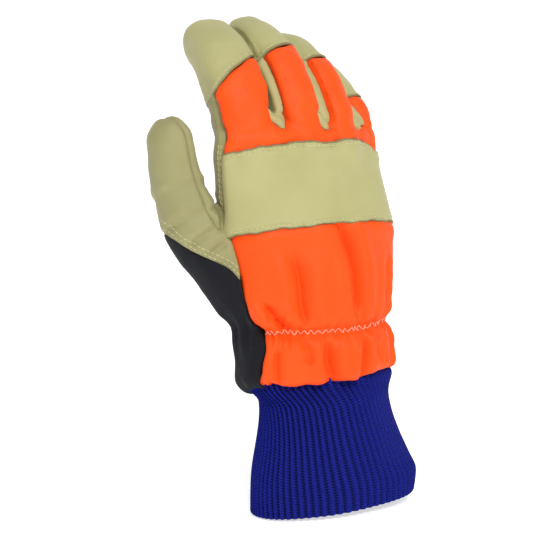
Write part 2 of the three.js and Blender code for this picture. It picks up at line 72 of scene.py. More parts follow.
# Main sizes in millimetres
PALM_WIDTH = 99
PALM_DEPTH = 48
HEM_HEIGHT = 63
SHELL_HEIGHT = 146
KNUCKLE_DOME = 9
LEATHER_WALL = 2.0
CLOTH_WALL = 1.7
PADDED_WALL = 5.5
FINGER_WALL = 4.7
DOME_WALL = 3.2
TIP_WALL = 2.6
KNIT_WALL = 3.2
CUFF_WIDTH = 94
CUFF_DEPTH = 42
CUFF_LAP = 7
CUFF_FIT = 0.7
CUFF_SEAT = 3
CUFF_LINING = 0.3
HEM_RISE = 11
HEM_TUCK = 4.2
LITTLE_HEM_TUCK = 2.4
HEEL_TUCK = 7
ELASTIC_HEIGHT = 102
STRAP_FOOT = 153
STRAP_HEIGHT = 46
STRAP_ARCH = 7
STRAP_SAG = 5.5
STRAP_SEAM = 2.4
STRAP_STAND = 2.3
STRAP_PRESS = 0.9
THUMB_LENGTH = 150
THUMB_WIDTH = 30
THUMB_END = 12
THUMB_ROOT = np.array([-20.0, 16.0, 75.0])
FINGER_LENGTH = 92
FINGER_WIDTH = 22
FINGER_DEPTH = 22
FINGER_END = 11
KNUCKLE_HEIGHT = 187
CUFF_LENGTH = HEM_HEIGHT + HEM_RISE + CUFF_LAP
CROTCH_BLEND = 7
SEAM_BLEND = 1.2

# Ribs of the cuff: how many, how high, points on each, and their slant in degrees a millimetre
RIBS = 66
RIB_HEIGHT = 0.8
RIB_STEPS = 8
RIB_SLANT = 0.17
# How far each rib's stitches lie above its neighbour's, and how steeply a stitch slants
RIB_SHIFT = 0.43
STITCH_RISE = 2.8

# Angles in degrees: 0 is the back of the hand and the thumb's side is positive
HAND_LEAN = 13
BACK_EDGE = -98
STRAP_EDGE = 76.5
STRAP_FAR_EDGE = -90
ZIGZAG_START = -88
ZIGZAG_END = 46
FRONT_EDGE = 122
SIDE_EDGE = 20
THUMB_FAR_EDGE = 135
THUMB_FRONT_MIDDLE = 239.5
THUMB_FRONT_HALF = 89.5

# Shares of the hand's height, the thumb's or the cuff's length
LEATHER_FOOT = 0.45
THUMB_TOP = 0.7
THUMB_LEATHER_FOOT = 0.46
THUMB_LEATHER_RISE = 0.2
CUFF_FOLD = 0.02
BACK_HEM = HEM_RISE / SHELL_HEIGHT
# How much of the padding's full height is reached at its edge
PADDING_LEAD = 0.35

# Roundness of a section: 2 is an ellipse, more is squarer
CUFF_SQUARE = 2.1
FINGER_SQUARE = 2.25
THUMB_SQUARE = 2.1

# Millimetres of surface per degree round the hand, a finger and the thumb
SHELL_ARC = 0.62
FINGER_ARC = 0.25
THUMB_ARC = 0.28
# The distance from a cutting line beyond which it isn't measured, and the least one from a
# point to a line, also as a share of the cut triangle's side
FAR = 20
CUT_MARGIN = 0.02

# Rows of stitches: millimetres inside the caps' and the leather's edges, and outside the
# padded back's edge, where the last are sewn between two heights
CAP_ROW = 2.1
LEATHER_ROWS = (2.6, 7.4)
BACK_ROWS = (-2.4, -4.8)
SEAM_STRETCH = (150, 205)
ZIGZAG_THREAD = 0.48

# The leather ends of the slits between the fingers
SLIT_WIDTH = 3.1
SLIT_LENGTH = 6.5
SLIT_ROUND = 5

# The stage, in metres
FLOOR_DEPTH = 3.0
FLOOR_WIDTH = 20.0
FLOOR_BEND = 0.6
FLOOR_GAP = 0.0005
BACKDROP_HEIGHT = 3.5

# Sections of the hand from its hem up: side and wide are shares of the palm's width, lean and
# deep of its depth, square is the roundness of the section and turned its turn in degrees
SHELL_COLUMNS = ("up", "side", "lean", "wide", "deep", "square", "turned")
SHELL_ROWS = [
    (0, -0.055, 0.19, 0.9, 1.06, 2.1, 0),
    (0.15, -0.075, 0.27, 0.89, 1.04, 2.1, 0),
    (0.27, -0.09, 0.33, 0.9, 0.98, 2.1, 0),
    (0.4, -0.082, 0.43, 0.95, 1.02, 2.2, 1),
    (0.51, -0.072, 0.51, 0.99, 1, 2.2, 3),
    (0.64, -0.068, 0.595, 1.01, 0.96, 2.2, 5),
    (0.78, -0.088, 0.66, 1, 0.87, 2.2, 8),
    (0.92, -0.11, 0.715, 0.98, 0.73, 2.15, 11),
    (1, -0.118, 0.735, 0.95, 0.63, 2.15, 13),
]

# Sections of the cuff from its lower edge up
CUFF_COLUMNS = ("up", "side", "lean", "wide", "deep", "tilt")
CUFF_ROWS = [
    (0, 0, 0, 0.98, 1, 3),
    (0.14, 0.012, 0.01, 0.99, 1, 3),
    (0.28, 0.004, 0.03, 0.94, 1.01, 2),
    (0.45, -0.008, 0.07, 0.85, 1.02, 1),
    (0.62, -0.02, 0.11, 0.78, 1.04, 0),
    (0.76, -0.03, 0.15, 0.755, 1.06, 0),
    (1, -0.05, 0.2, 0.8, 1.1, 0),
]

# The thumb's course: out, back and up are shares of its length, wide and deep of its width
THUMB_COLUMNS = ("along", "out", "back", "up", "wide", "deep")
THUMB_ROWS = [
    (0, 0, 0, 0, 1.05, 1.05),
    (0.17, 0.085, 0.02, 0.15, 0.92, 1.05),
    (0.33, 0.175, 0.045, 0.29, 0.94, 1.08),
    (0.5, 0.275, 0.073, 0.44, 1.0, 1.02),
    (0.66, 0.36, 0.093, 0.58, 0.94, 0.92),
    (0.82, 0.412, 0.107, 0.74, 0.84, 0.82),
    (1, 0.428, 0.113, 0.87, 0.72, 0.72),
]

# The fingers: the place of the knuckle, its depth, shares of the standard finger, the turn,
# splay and bends in degrees, where the leather cap begins and how it slants, the angles to the
# padded back's edges, the height of the welt beside it and the angle of the slit's own leather
FINGER_COLUMNS = (
    "side", "sunk", "long", "wide", "deep", "turned", "splay", "bends", "tip", "slant", "reach",
    "far_reach", "welt", "leaf",
)
FINGERS = {
    "index": (-0.64, 0.02, 1, 1.28, 1.1, -2, -6, (8, 22, 26), 0.59, -0.12, 60, 66, 0, 0),
    "middle": (0.02, 0.02, 1.1, 1.02, 1.06, 6, -4, (14, 22, 24), 0.67, -0.04, 48, 60, 2.6, 0),
    "ring": (0.5, 0.06, 1.03, 0.9, 1, 10, -1, (19, 22, 26), 0.65, -0.03, 30, 60, 3.6, 0),
    "little": (0.9, 0.5, 0.9, 0.8, 0.88, 12, 2, (26, 22, 22), 0.43, -0.03, 22, 75, 3.6, 34),
}
JOINT_PLACES = (0.22, 0.52, 0.78)
JOINT_SPREAD = 0.3
FINGER_SECTION_COLUMNS = ("along", "wide", "deep")
FINGER_SECTIONS = [(0, 0.8, 0.9), (0.3, 1, 1.02), (0.6, 1, 1), (0.85, 1, 0.96), (1, 0.95, 0.9)]

# Angle of the padded back's edge on the thumb's side, by share of the hand's height
BACK_EDGE_COLUMNS = ("up", "angle")
BACK_EDGE_ROWS = [(0, 60), (0.14, 54), (0.22, 46), (0.36, 62), (0.6, 76), (0.9, 77), (1, 76)]

# Folds of the padded back: angles at the top and the foot, heights as shares of the hand,
# depth and width in millimetres
FOLD_COLUMNS = ("top_angle", "foot_angle", "foot", "top", "deep", "wide")
FOLDS = [
    (-4, -23, 0.26, 0.76, 4.2, 2.6),
    (20, 8, 0.26, 0.6, 3.4, 2.8),
    (-52, -54, 0.27, 0.55, 1.8, 3.0),
    (44, 18, 0.27, 0.4, 2.6, 3.0),
    (30, 26, 0.27, 0.34, 1.5, 2.0),
    (-2, 3, 0.04, 0.26, 4.0, 2.4),
    (-24, -20, 0.04, 0.26, 3.4, 2.2),
    (-55, -52, 0.04, 0.26, 2.4, 2.4),
    (30, 40, 0.05, 0.25, 2.2, 2.6),
    (15, 14, 0.14, 0.26, 1.9, 2.0),
    (-38, -36, 0.13, 0.26, 1.8, 2.0),
]

# Small wrinkles at the elastic: the limits between which each one's sizes are drawn, in
# degrees for the pitch and millimetres for the rest
GATHER_LIMITS = {"pitch": (3.5, 8.5), "deep": (0.35, 1.3), "reach": (4, 15), "lean": (-0.25, 0.25)}
GATHERS_END = 70

# Folds round the thumb's root: millimetres up the thumb, depth and width
CROTCH_FOLDS = [(76, 1.7, 1.8), (86, 1.6, 2.0), (98, 1.2, 2.2), (114, 0.7, 2.8)]

# Unevenness of the gathered hem and of cut leather: height, waves in a turn or degree, place
HEM_RIPPLES = [(0.5, 9, 1), (0.4, 16, 2.5), (0.2, 27, 0)]
CUT_RIPPLES = [(0.3, 0.21, 0), (0.22, 0.53, 1), (0.12, 1.7, 0)]

LAMP_COLUMNS = ("name", "azimuth", "elevation", "distance", "size")
LAMPS = [
    ("key", -2, 44, 1.6, 0.7),
    ("fill", -80, 25, 1.8, 1.2),
    ("top", 10, 80, 1.4, 1.0),
]


def read_table(columns, rows, place):
    """Every column of a table at a place between its rows, on a smooth curve through them."""
    rows = np.array(rows, float)
    last = len(rows) - 1
    at = min(max(place, rows[0, 0]), rows[last, 0])
    row = 0
    while row < last - 1 and at > rows[row + 1, 0]:
        row += 1
    span = rows[row + 1, 0] - rows[row, 0]
    share = (at - rows[row, 0]) / span

    def slope(k):
        before = rows[max(k - 1, 0)]
        after = rows[min(k + 1, last)]
        return (after - before) / (after[0] - before[0]) * span

    rise = rows[row + 1] - rows[row]
    curve = (1 - share) * (slope(row) - rise) - share * (slope(row + 1) - rise)
    values = rows[row] + share * (rise + (1 - share) * curve)
    return dict(zip(columns, values))


def smooth(value):
    """An even rise from 0 to 1."""
    value = np.clip(value, 0, 1)
    return value * value * (3 - 2 * value)


def mix(a, b, share):
    """A value between two others."""
    return a + (b - a) * share


def bell(distance, width):
    """A bell curve, 1 at the middle and a third at its width."""
    return np.exp(-((distance / width) ** 2))


def ramp(value, width):
    """Rises smoothly from 0 to 1 while the value grows from 0 to the width."""
    return smooth(value / width)


def step(value, width):
    """Rises smoothly from 0 to 1 over a width centred on the value 0."""
    return smooth(value / width + 0.5)


def ridge(distance, high, wide):
    """A rounded ridge along a line, from the distance to that line."""
    return high * bell(distance, wide)


def fade(distance, reach):
    """Falls from 1 at a line to about a third at its reach."""
    return np.exp(-distance / reach)


def ripples(rows, angle, start=0):
    """Sine waves round the hand, from rows of height, waves in a turn and place."""
    return sum((high * np.sin(angle * rate + place) for high, rate, place in rows), start)


def signed_power(value, exponent):
    return np.sign(value) * np.abs(value) ** exponent


def unit(vector):
    """The vector in length 1."""
    return vector / np.linalg.norm(vector)


def unit_rows(rows):
    """Every row in length 1."""
    return rows / np.maximum(np.linalg.norm(rows, axis=1, keepdims=True), 1e-9)


class Tube:
    """A rounded tube, sampled along its course, that points can be placed on and measured from."""

    SAMPLES = 240
    CHUNK = 20000
    PACE = 0.8
    LOWEST = -0.6

    def __init__(self, section, length, end, foot=True):
        self.length = length
        self.end = end
        self.foot = foot
        self.places = np.linspace(0, 1, self.SAMPLES + 1)
        rows = [section(place) for place in self.places]
        self.tables = {
            key: np.array([row[key] for row in rows], float) for key in rows[0]
        }

    def at(self, along, key):
        table = self.tables[key]
        place = np.clip(along, 0, 1) * self.SAMPLES
        low = np.minimum(place.astype(int), self.SAMPLES - 1)
        share = place - low
        if table.ndim == 2:
            share = share[:, None]
        return table[low] * (1 - share) + table[low + 1] * share

    def points(self, along, angle, offset):
        """Angle 0 is the tube's back, 90 its thumb side and 180 its palm side; along runs from 0
        to 1 up the tube and from 1 to 2 over its rounded end."""
        along, angle, offset = np.broadcast_arrays(
            np.asarray(along, float), np.asarray(angle, float), np.asarray(offset, float)
        )
        shape = along.shape
        along, angle, offset = along.ravel(), angle.ravel(), offset.ravel()
        turn = np.maximum(along - 1, 0) * math.pi / 2
        shrink = np.cos(turn)
        reach = np.where(
            along > 1, np.sin(turn) * (self.end + offset), np.minimum(along, 0) * self.length
        )
        exponent = 2 / self.at(along, "square")
        radians = np.radians(angle)
        across = signed_power(np.sin(radians), exponent) * (self.at(along, "wide") + offset)
        through = signed_power(np.cos(radians), exponent) * (self.at(along, "deep") + offset)
        places = (
            self.at(along, "centre")
            - self.at(along, "side") * (across * shrink)[:, None]
            - self.at(along, "palm") * (through * shrink)[:, None]
            + self.at(along, "forward") * reach[:, None]
        )
        return places.reshape(*shape, 3)

    def measure(self, points):
        """Along, angle in degrees and distance from the hollow, for each point."""
        along = np.empty(len(points))
        centres = self.tables["centre"]
        for start in range(0, len(points), self.CHUNK):
            part = points[start:start + self.CHUNK]
            gaps = (
                (part ** 2).sum(1)[:, None] - 2 * part @ centres.T + (centres ** 2).sum(1)[None]
            )
            along[start:start + self.CHUNK] = self.places[gaps.argmin(1)]
        for _ in range(3):
            gap = points - self.at(along, "centre")
            ahead = (gap * self.at(along, "forward")).sum(1) / self.length
            along = np.clip(along + self.PACE * ahead, self.LOWEST, 1)
        base = np.clip(along, 0, 1)
        gap = points - self.at(base, "centre")
        across = -(gap * self.at(base, "side")).sum(1)
        through = -(gap * self.at(base, "palm")).sum(1)
        ahead = (gap * self.at(base, "forward")).sum(1)
        square = self.at(base, "square")
        wide = np.abs(across) / self.at(base, "wide")
        deep = np.abs(through) / self.at(base, "deep")
        level = (wide ** square + deep ** square + 1e-12) ** (1 / square)
        angle = np.degrees(np.arctan2(
            np.sign(across) * wide ** (square / 2), np.sign(through) * deep ** (square / 2)
        ))
        beyond = np.where(base >= 1, np.maximum(ahead, 0) / self.end, 0)
        whole = np.sqrt(level ** 2 + beyond ** 2)
        reach = np.sqrt(across ** 2 + through ** 2 + np.where(base >= 1, ahead, 0) ** 2)
        distance = reach * (1 - 1 / np.maximum(whole, 1e-6))
        along = np.where(base >= 1, 1 + 2 / math.pi * np.arctan2(beyond, level), along)
        behind = (base <= 0) & (ahead < 0)
        along = np.where(behind, ahead / self.length, along)
        if self.foot:
            distance = distance - np.where(behind, ahead, 0)
        return along, angle, distance


def level_axes(degrees):
    """The axes of an upright tube that is turned about its course."""
    turn = math.radians(degrees)
    return {
        "side": (math.cos(turn), math.sin(turn), 0),
        "palm": (-math.sin(turn), math.cos(turn), 0),
        "forward": (0, 0, 1),
    }


def shell_section(along):
    row = read_table(SHELL_COLUMNS, SHELL_ROWS, along)
    return {
        **level_axes(row["turned"]),
        "centre": (
            row["side"] * PALM_WIDTH, row["lean"] * PALM_DEPTH, HEM_HEIGHT + along * SHELL_HEIGHT
        ),
        "wide": row["wide"] * PALM_WIDTH / 2,
        "deep": row["deep"] * PALM_DEPTH / 2,
        "square": row["square"],
    }


def shell_share(height):
    """A height as a share of the way up the hand."""
    return (height - HEM_HEIGHT) / SHELL_HEIGHT


def cuff_section(along):
    row = read_table(CUFF_COLUMNS, CUFF_ROWS, along)
    height = along * CUFF_LENGTH
    seat = shell_section(min(max(shell_share(height), 0), 1))
    seated = float(smooth((height - HEM_HEIGHT + CUFF_SEAT) / (HEM_RISE + 1)))
    inset = CUFF_FIT + KNIT_WALL + RIB_HEIGHT
    tilt = math.radians(row["tilt"])
    return {
        "side": (math.cos(tilt), 0, math.sin(tilt)),
        "palm": (0, 1, 0),
        "forward": (-math.sin(tilt), 0, math.cos(tilt)),
        "centre": (
            mix(row["side"] * CUFF_WIDTH, seat["centre"][0], seated),
            mix(row["lean"] * CUFF_DEPTH, seat["centre"][1], seated),
            height,
        ),
        "wide": mix(row["wide"] * CUFF_WIDTH / 2, seat["wide"] - inset, seated),
        "deep": mix(row["deep"] * CUFF_DEPTH / 2, seat["deep"] - inset, seated),
        "square": CUFF_SQUARE,
    }


def finger_tube(values):
    """A finger's course bends gradually at its three joints."""
    finger = dict(zip(FINGER_COLUMNS, values))
    length = FINGER_LENGTH * finger["long"]
    turn = math.radians(finger["turned"])
    splay = math.radians(finger["splay"])
    palm = np.array([-math.sin(turn), math.cos(turn), 0])
    up = np.array([math.sin(splay), 0, math.cos(splay)])
    up = unit(up - palm * up.dot(palm))
    side = np.cross(palm, up)

    def bend_at(along):
        bend = HAND_LEAN
        for angle, place in zip(finger["bends"], JOINT_PLACES):
            bend += angle * float(smooth((along - place) / JOINT_SPREAD + 0.5))
        return math.radians(bend)

    knuckle = shell_section(shell_share(KNUCKLE_HEIGHT))
    square = knuckle["square"]
    inside = min(abs(finger["side"]), 0.98)
    surface = (1 - inside ** square) ** (1 / square) * knuckle["deep"]
    deep = FINGER_DEPTH * finger["deep"] / 2
    base = (
        np.array(knuckle["centre"])
        + np.array(knuckle["side"]) * finger["side"] * knuckle["wide"]
        + np.array(knuckle["palm"]) * (deep * (FINGER_SECTIONS[0][2] + finger["sunk"]) - surface)
    )
    steps = Tube.SAMPLES
    course = [base]
    for step in range(steps):
        bend = bend_at((step + 0.5) / steps)
        course.append(
            course[-1] + (up * math.cos(bend) + palm * math.sin(bend)) * length / steps
        )

    def section(along):
        row = read_table(FINGER_SECTION_COLUMNS, FINGER_SECTIONS, along)
        bend = bend_at(along)
        return {
            "side": side,
            "palm": palm * math.cos(bend) - up * math.sin(bend),
            "forward": up * math.cos(bend) + palm * math.sin(bend),
            "centre": course[round(along * steps)],
            "wide": row["wide"] * FINGER_WIDTH * finger["wide"] / 2,
            "deep": row["deep"] * deep,
            "square": FINGER_SQUARE,
        }

    tube = Tube(section, length, FINGER_END * math.sqrt(finger["wide"]))
    for key in ("tip", "slant", "reach", "far_reach", "welt", "leaf"):
        setattr(tube, key, finger[key])
    return tube


def thumb_place(along):
    row = read_table(THUMB_COLUMNS, THUMB_ROWS, along)
    return THUMB_ROOT + THUMB_LENGTH * np.array([-row["out"], row["back"], row["up"]])


def thumb_section(along):
    row = read_table(THUMB_COLUMNS, THUMB_ROWS, along)
    span = 0.04
    low = min(max(along - span / 2, 0), 1 - span)
    forward = unit(thumb_place(low + span) - thumb_place(low))
    palm = np.array([0.0, 1.0, 0.0])
    palm = unit(palm - forward * palm.dot(forward))
    return {
        "side": np.cross(palm, forward),
        "palm": palm,
        "forward": forward,
        "centre": thumb_place(along),
        "wide": row["wide"] * THUMB_WIDTH / 2,
        "deep": row["deep"] * THUMB_WIDTH / 2,
        "square": THUMB_SQUARE,
    }


def back_edge_at(along):
    """Angle of the padded back's edge on the thumb's side."""
    places = np.linspace(0, 1, 101)
    curve = [read_table(BACK_EDGE_COLUMNS, BACK_EDGE_ROWS, place)["angle"] for place in places]
    return np.interp(along, places, curve)


def tip_start(tube, angle):
    """Where the leather cap begins along a finger."""
    return tube.tip + tube.slant * np.sin(np.radians(angle))


def thumb_leather_start(angle):
    """Where the leather begins along the thumb."""
    return THUMB_LEATHER_FOOT + THUMB_LEATHER_RISE * np.sin(np.radians(angle))


def wrap(degrees):
    """The same angle between -180 and 180."""
    return (degrees + 180) % 360 - 180


def back_inside(along, angle):
    """How far inside the padded back's side edges a place on the hand lies, in millimetres."""
    return np.minimum(back_edge_at(along) - angle, angle - BACK_EDGE) * SHELL_ARC


def hem_wave(angle):
    """Unevenness of the gathered hem round the hand, in millimetres."""
    return ripples(HEM_RIPPLES, np.radians(angle), ridge(angle + 52, high=3.6, wide=36))


def hem_tuck(angle):
    """How far the hem is drawn in: less on the little finger's side."""
    return mix(HEM_TUCK, LITTLE_HEM_TUCK, bell(wrap(angle + 75), 35))


def tucked(height, radius, depth):
    """How far an edge turns in where it is gathered into a seam, in millimetres."""
    share = np.clip(1 - height / radius, 0, 1)
    return depth * (1 - np.sqrt(1 - share ** 2))


def strap_foot(angle):
    share = np.clip((angle - STRAP_FAR_EDGE) / (STRAP_EDGE - STRAP_FAR_EDGE), 0, 1)
    return STRAP_FOOT + STRAP_ARCH * np.sin(share * math.pi)


def strap_top(angle):
    """The strap's upper edge sinks towards the little finger and dips at a crease."""
    sag = STRAP_SAG * ramp(-angle - 30, 50)
    return strap_foot(angle) + STRAP_HEIGHT - (sag + ridge(angle + 12, high=1.5, wide=9))


def uneven(angle):
    """Small unevenness of a hand-cut edge, in millimetres."""
    return ripples(CUT_RIPPLES, angle)


def shell_wall(along, angle):
    """Thickness over the hand's hollow: padded on the back, thin elsewhere."""
    padded = smooth(back_inside(along, angle) / 9 + PADDING_LEAD)
    height = HEM_HEIGHT + along * SHELL_HEIGHT
    foot = strap_foot(angle)
    under_strap = step(height - foot, 4) * step(foot + STRAP_HEIGHT - height, 4)
    plain = mix(CLOTH_WALL, LEATHER_WALL, smooth((along - LEATHER_FOOT) * 20 + 0.5))
    dome = smooth((along - 1) * 3)
    return mix(plain, mix(PADDED_WALL, DOME_WALL, dome) - STRAP_PRESS * under_strap, padded)


def finger_back(tube, angle):
    """How far inside the padded back's edges a place on a finger lies, in millimetres."""
    return np.minimum(tube.reach - angle, angle + tube.far_reach) * FINGER_ARC


def finger_wall(tube, along, angle):
    padded = smooth(finger_back(tube, angle) / 5 + PADDING_LEAD)
    capped = step((along - tip_start(tube, angle)) * tube.length, 3)
    welt = tube.welt * bell(angle - tube.reach - 14, 13) * smooth(along * 8)
    return mix(mix(LEATHER_WALL + welt, FINGER_WALL, padded), TIP_WALL + 0.6 * padded, capped)


def thumb_wall(along, angle):
    return mix(CLOTH_WALL, LEATHER_WALL, smooth((along - thumb_leather_start(angle)) * 30 + 0.5))


def ring_quads(rows, around):
    """Faces between neighbouring rings of points."""
    low = np.arange(rows - 1)[:, None] * around
    ring = np.arange(around)
    after = (ring + 1) % around
    high = low + around
    return np.stack([low + ring, high + ring, high + after, low + after], 2).reshape(-1, 4)


def tube_grid(tube, wall, low, rows, round_rows, around):
    """Points and triangles of a closed tube with its wall."""
    along = np.concatenate([
        np.linspace(low, 1, rows + 1), np.linspace(1, 2, round_rows + 1)[1:-1]
    ])
    angle = np.arange(around) / around * 360 - 180
    a, g = np.meshgrid(along, angle, indexing="ij")
    grid = tube.points(a, g, wall(a, g)).reshape(-1, 3)
    foot = tube.points(np.full(around, low), angle, 0.0).mean(0)
    top = tube.points(np.array([2.0]), np.array([0.0]), wall(np.array([2.0]), np.array([0.0])))
    points = np.vstack([grid, foot[None], top.reshape(1, 3)])
    count = len(along)
    quads = ring_quads(count, around).reshape(count - 1, around, 4)
    sides = np.concatenate([quads[..., [0, 1, 3]], quads[..., [3, 1, 2]]], 1).reshape(-1, 3)
    ring = np.arange(around)
    after = (ring + 1) % around
    foot_index, high = count * around, (count - 1) * around
    below = np.stack([np.full(around, foot_index), ring, after], 1)
    above = np.stack([np.full(around, foot_index + 1), high + after, high + ring], 1)
    return points, np.vstack([sides, below, above])


def mesh_from(name, points, faces):
    mesh = bpy.data.meshes.new(name)
    faces = faces if isinstance(faces, list) else faces.tolist()
    mesh.from_pydata(np.asarray(points).tolist(), [], faces)
    mesh.polygons.foreach_set("use_smooth", [True] * len(mesh.polygons))
    mesh.update()
    return mesh


def add_object(name, data):
    """A new object in the scene."""
    thing = bpy.data.objects.new(name, data)
    bpy.context.scene.collection.objects.link(thing)
    return thing


def remeshed(points, faces, size):
    """One closed skin round overlapping solids, as points and triangles."""
    mesh = mesh_from("skin", points, faces)
    thing = add_object("skin", mesh)
    modifier = thing.modifiers.new("skin", "REMESH")
    modifier.mode = "VOXEL"
    modifier.voxel_size = size
    modifier.adaptivity = 0
    view = bpy.context.evaluated_depsgraph_get()
    skin = thing.evaluated_get(view).to_mesh()
    count = len(skin.vertices)
    places = np.empty(count * 3)
    skin.vertices.foreach_get("co", places)
    skin.calc_loop_triangles()
    triangles = np.empty(len(skin.loop_triangles) * 3, dtype=np.int64)
    skin.loop_triangles.foreach_get("vertices", triangles)
    bpy.data.objects.remove(thing)
    bpy.data.meshes.remove(mesh)
    return places.reshape(-1, 3), triangles.reshape(-1, 3)


def sides_of(triangles):
    """The three sides of each triangle as pairs of points."""
    return np.vstack([triangles[:, [0, 1]], triangles[:, [1, 2]], triangles[:, [2, 0]]])


def edges_of(triangles):
    """Every edge between two points once."""
    return np.unique(np.sort(sides_of(triangles), 1), axis=0)


def spread(values, edges, count):
    """Mean of each point's neighbours."""
    a = np.concatenate([edges[:, 0], edges[:, 1]])
    b = np.concatenate([edges[:, 1], edges[:, 0]])
    degree = np.maximum(np.bincount(a, minlength=count), 1)
    columns = values.reshape(count, -1)
    means = np.stack([
        np.bincount(a, weights=columns[b, k], minlength=count) / degree
        for k in range(columns.shape[1])
    ], 1)
    return means.reshape(values.shape)


def relax(points, edges, times, weight):
    """Evens out a surface by moving points towards their neighbours."""
    for _ in range(times):
        points = points + (spread(points, edges, len(points)) - points) * weight
    return points


def normals_of(points, triangles):
    """Every point's normal, from the triangles that meet there."""
    a, b, c = points[triangles[:, 0]], points[triangles[:, 1]], points[triangles[:, 2]]
    faces = np.cross(b - a, c - a)
    normals = np.zeros_like(points)
    for corner in range(3):
        for k in range(3):
            normals[:, k] += np.bincount(
                triangles[:, corner], weights=faces[:, k], minlength=len(points)
            )
    return unit_rows(normals)


class Skin:
    """The glove's outer surface: one blended mesh, with the places of its points on the tubes."""

    def __init__(self, size):
        self.shell = Tube(shell_section, SHELL_HEIGHT, KNUCKLE_DOME, foot=False)
        self.thumb = Tube(thumb_section, THUMB_LENGTH, THUMB_END)
        self.fingers = [finger_tube(values) for values in FINGERS.values()]
        grids = [
            tube_grid(self.shell, shell_wall, low=-0.05, rows=110, round_rows=10, around=220),
            tube_grid(self.thumb, thumb_wall, low=0.02, rows=90, round_rows=12, around=70),
        ]
        for tube in self.fingers:
            def wall(along, angle, tube=tube):
                return finger_wall(tube, along, angle)
            grids.append(tube_grid(tube, wall, low=0, rows=64, round_rows=12, around=60))
        points = np.vstack([grid[0] for grid in grids])
        starts = np.cumsum([0] + [len(grid[0]) for grid in grids[:-1]])
        faces = np.vstack([grid[1] + start for grid, start in zip(grids, starts)])
        self.points, self.triangles = remeshed(points, faces, size)
        edges = edges_of(self.triangles)
        self.measure()
        near_thumb = bell(self.gaps[:, 0] - self.gaps[:, 1], CROTCH_BLEND)
        near_thumb = near_thumb * ramp(2 * CROTCH_BLEND - self.gaps[:, :2].max(1), 6)
        self.points = relax(self.points, edges, times=5, weight=0.5)
        self.points = relax(self.points, edges, times=60, weight=0.5 * near_thumb[:, None])
        self.measure()

    def measure(self):
        tubes = [self.shell, self.thumb] + self.fingers
        spots = [tube.measure(self.points) for tube in tubes]
        self.along = np.stack([spot[0] for spot in spots], 1)
        self.angle = np.stack([spot[1] for spot in spots], 1)
        walls = [
            shell_wall(self.along[:, 0], self.angle[:, 0]),
            thumb_wall(self.along[:, 1], self.angle[:, 1]),
        ]
        for k, tube in enumerate(self.fingers):
            walls.append(finger_wall(tube, self.along[:, k + 2], self.angle[:, k + 2]))
        distance = np.stack([spot[2] for spot in spots], 1)
        self.gaps = distance - np.stack(walls, 1)
        nearness = fade(np.clip(self.gaps - self.gaps.min(1)[:, None], 0, 30), SEAM_BLEND)
        self.weights = nearness / nearness.sum(1)[:, None]

    def blend(self, values):
        """A field from its values on each tube, blended where the tubes meet."""
        return (np.clip(np.stack(values, 1), -FAR, FAR) * self.weights).sum(1)

    def everywhere(self, value):
        return np.full(len(self.points), float(value))

    def fields(self):
        """Signed distances in millimetres to the lines where the panels are cut."""
        along, angle = self.along, self.angle
        shell_along, shell_angle = along[:, 0], angle[:, 0]
        out = self.everywhere(-FAR)
        on_back = back_inside(shell_along, shell_angle)
        dip = np.maximum(np.sin(np.radians(shell_angle - 35)), 0) ** 1.5
        hem = np.where(on_back > 0, BACK_HEM, BACK_HEM * (1 - dip))
        above_hem = (shell_along - hem) * SHELL_HEIGHT - hem_wave(shell_angle)
        backs, finger_tip, finger_side = [], [], []
        for k, tube in enumerate(self.fingers):
            a, g = along[:, k + 2], angle[:, k + 2]
            shrunk = tube.leaf * bell(a - 0.2, 0.16)
            backs.append(finger_back(tube, g) - np.where(g > -SIDE_EDGE, shrunk, 0) * FINGER_ARC)
            finger_tip.append((a - tip_start(tube, g)) * tube.length)
            thumbward = np.minimum(FRONT_EDGE - g, g - SIDE_EDGE + tube.leaf) * FINGER_ARC
            outward = np.minimum(FRONT_EDGE + g, -g - SIDE_EDGE) * FINGER_ARC
            finger_side.append(np.maximum(thumbward if k > 0 else out, outward if k < 3 else out))
        tip = [out, out] + finger_tip
        back = [on_back, out] + backs
        leather = [
            (shell_along - LEATHER_FOOT) * SHELL_HEIGHT,
            (along[:, 1] - thumb_leather_start(angle[:, 1])) * THUMB_LENGTH,
        ] + [-out] * 4
        near_thumb = np.minimum(
            (THUMB_TOP - shell_along) * SHELL_HEIGHT, (THUMB_FAR_EDGE - shell_angle) * SHELL_ARC
        )
        front = THUMB_FRONT_HALF - np.abs(wrap(angle[:, 1] - THUMB_FRONT_MIDDLE))
        back, self.leaf = self.slit_leaves(self.blend(back))
        return {
            "hem": self.blend([above_hem] + [-out] * 5),
            "tip": self.blend(tip),
            "back": back,
            "leather": self.blend(leather),
            "thumb": self.blend([near_thumb, -out] + [out] * 4),
            "front": self.blend([out, front * THUMB_ARC] + [out] * 4),
            "side": self.blend([out, out] + finger_side),
        }

    def slit_leaves(self, back):
        """Lets the leather between two fingers run on as a rounded end below its slit."""
        leaf = self.everywhere(0)
        on_back = (np.abs(self.angle[:, 0]) < 80) & (self.points[:, 2] > KNUCKLE_HEIGHT + 3)
        for k in range(3):
            aside = np.abs(self.gaps[:, k + 2] - self.gaps[:, k + 3]) / 2
            cut = on_back & (aside < 1.5) & (back < 0)
            if not cut.any():
                continue
            web = self.points[cut, 2].min()
            height = self.points[:, 2] - web
            width = SLIT_WIDTH * np.sqrt(np.clip((height + SLIT_LENGTH) / SLIT_ROUND, 0, 1))
            below = on_back & (aside < SLIT_ROUND) & (height < 3.5) & (width > 0)
            back = np.where(below, np.minimum(back, aside - width), back)
            leaf = np.where(below & (aside < width), 1, leaf)
        return back, leaf


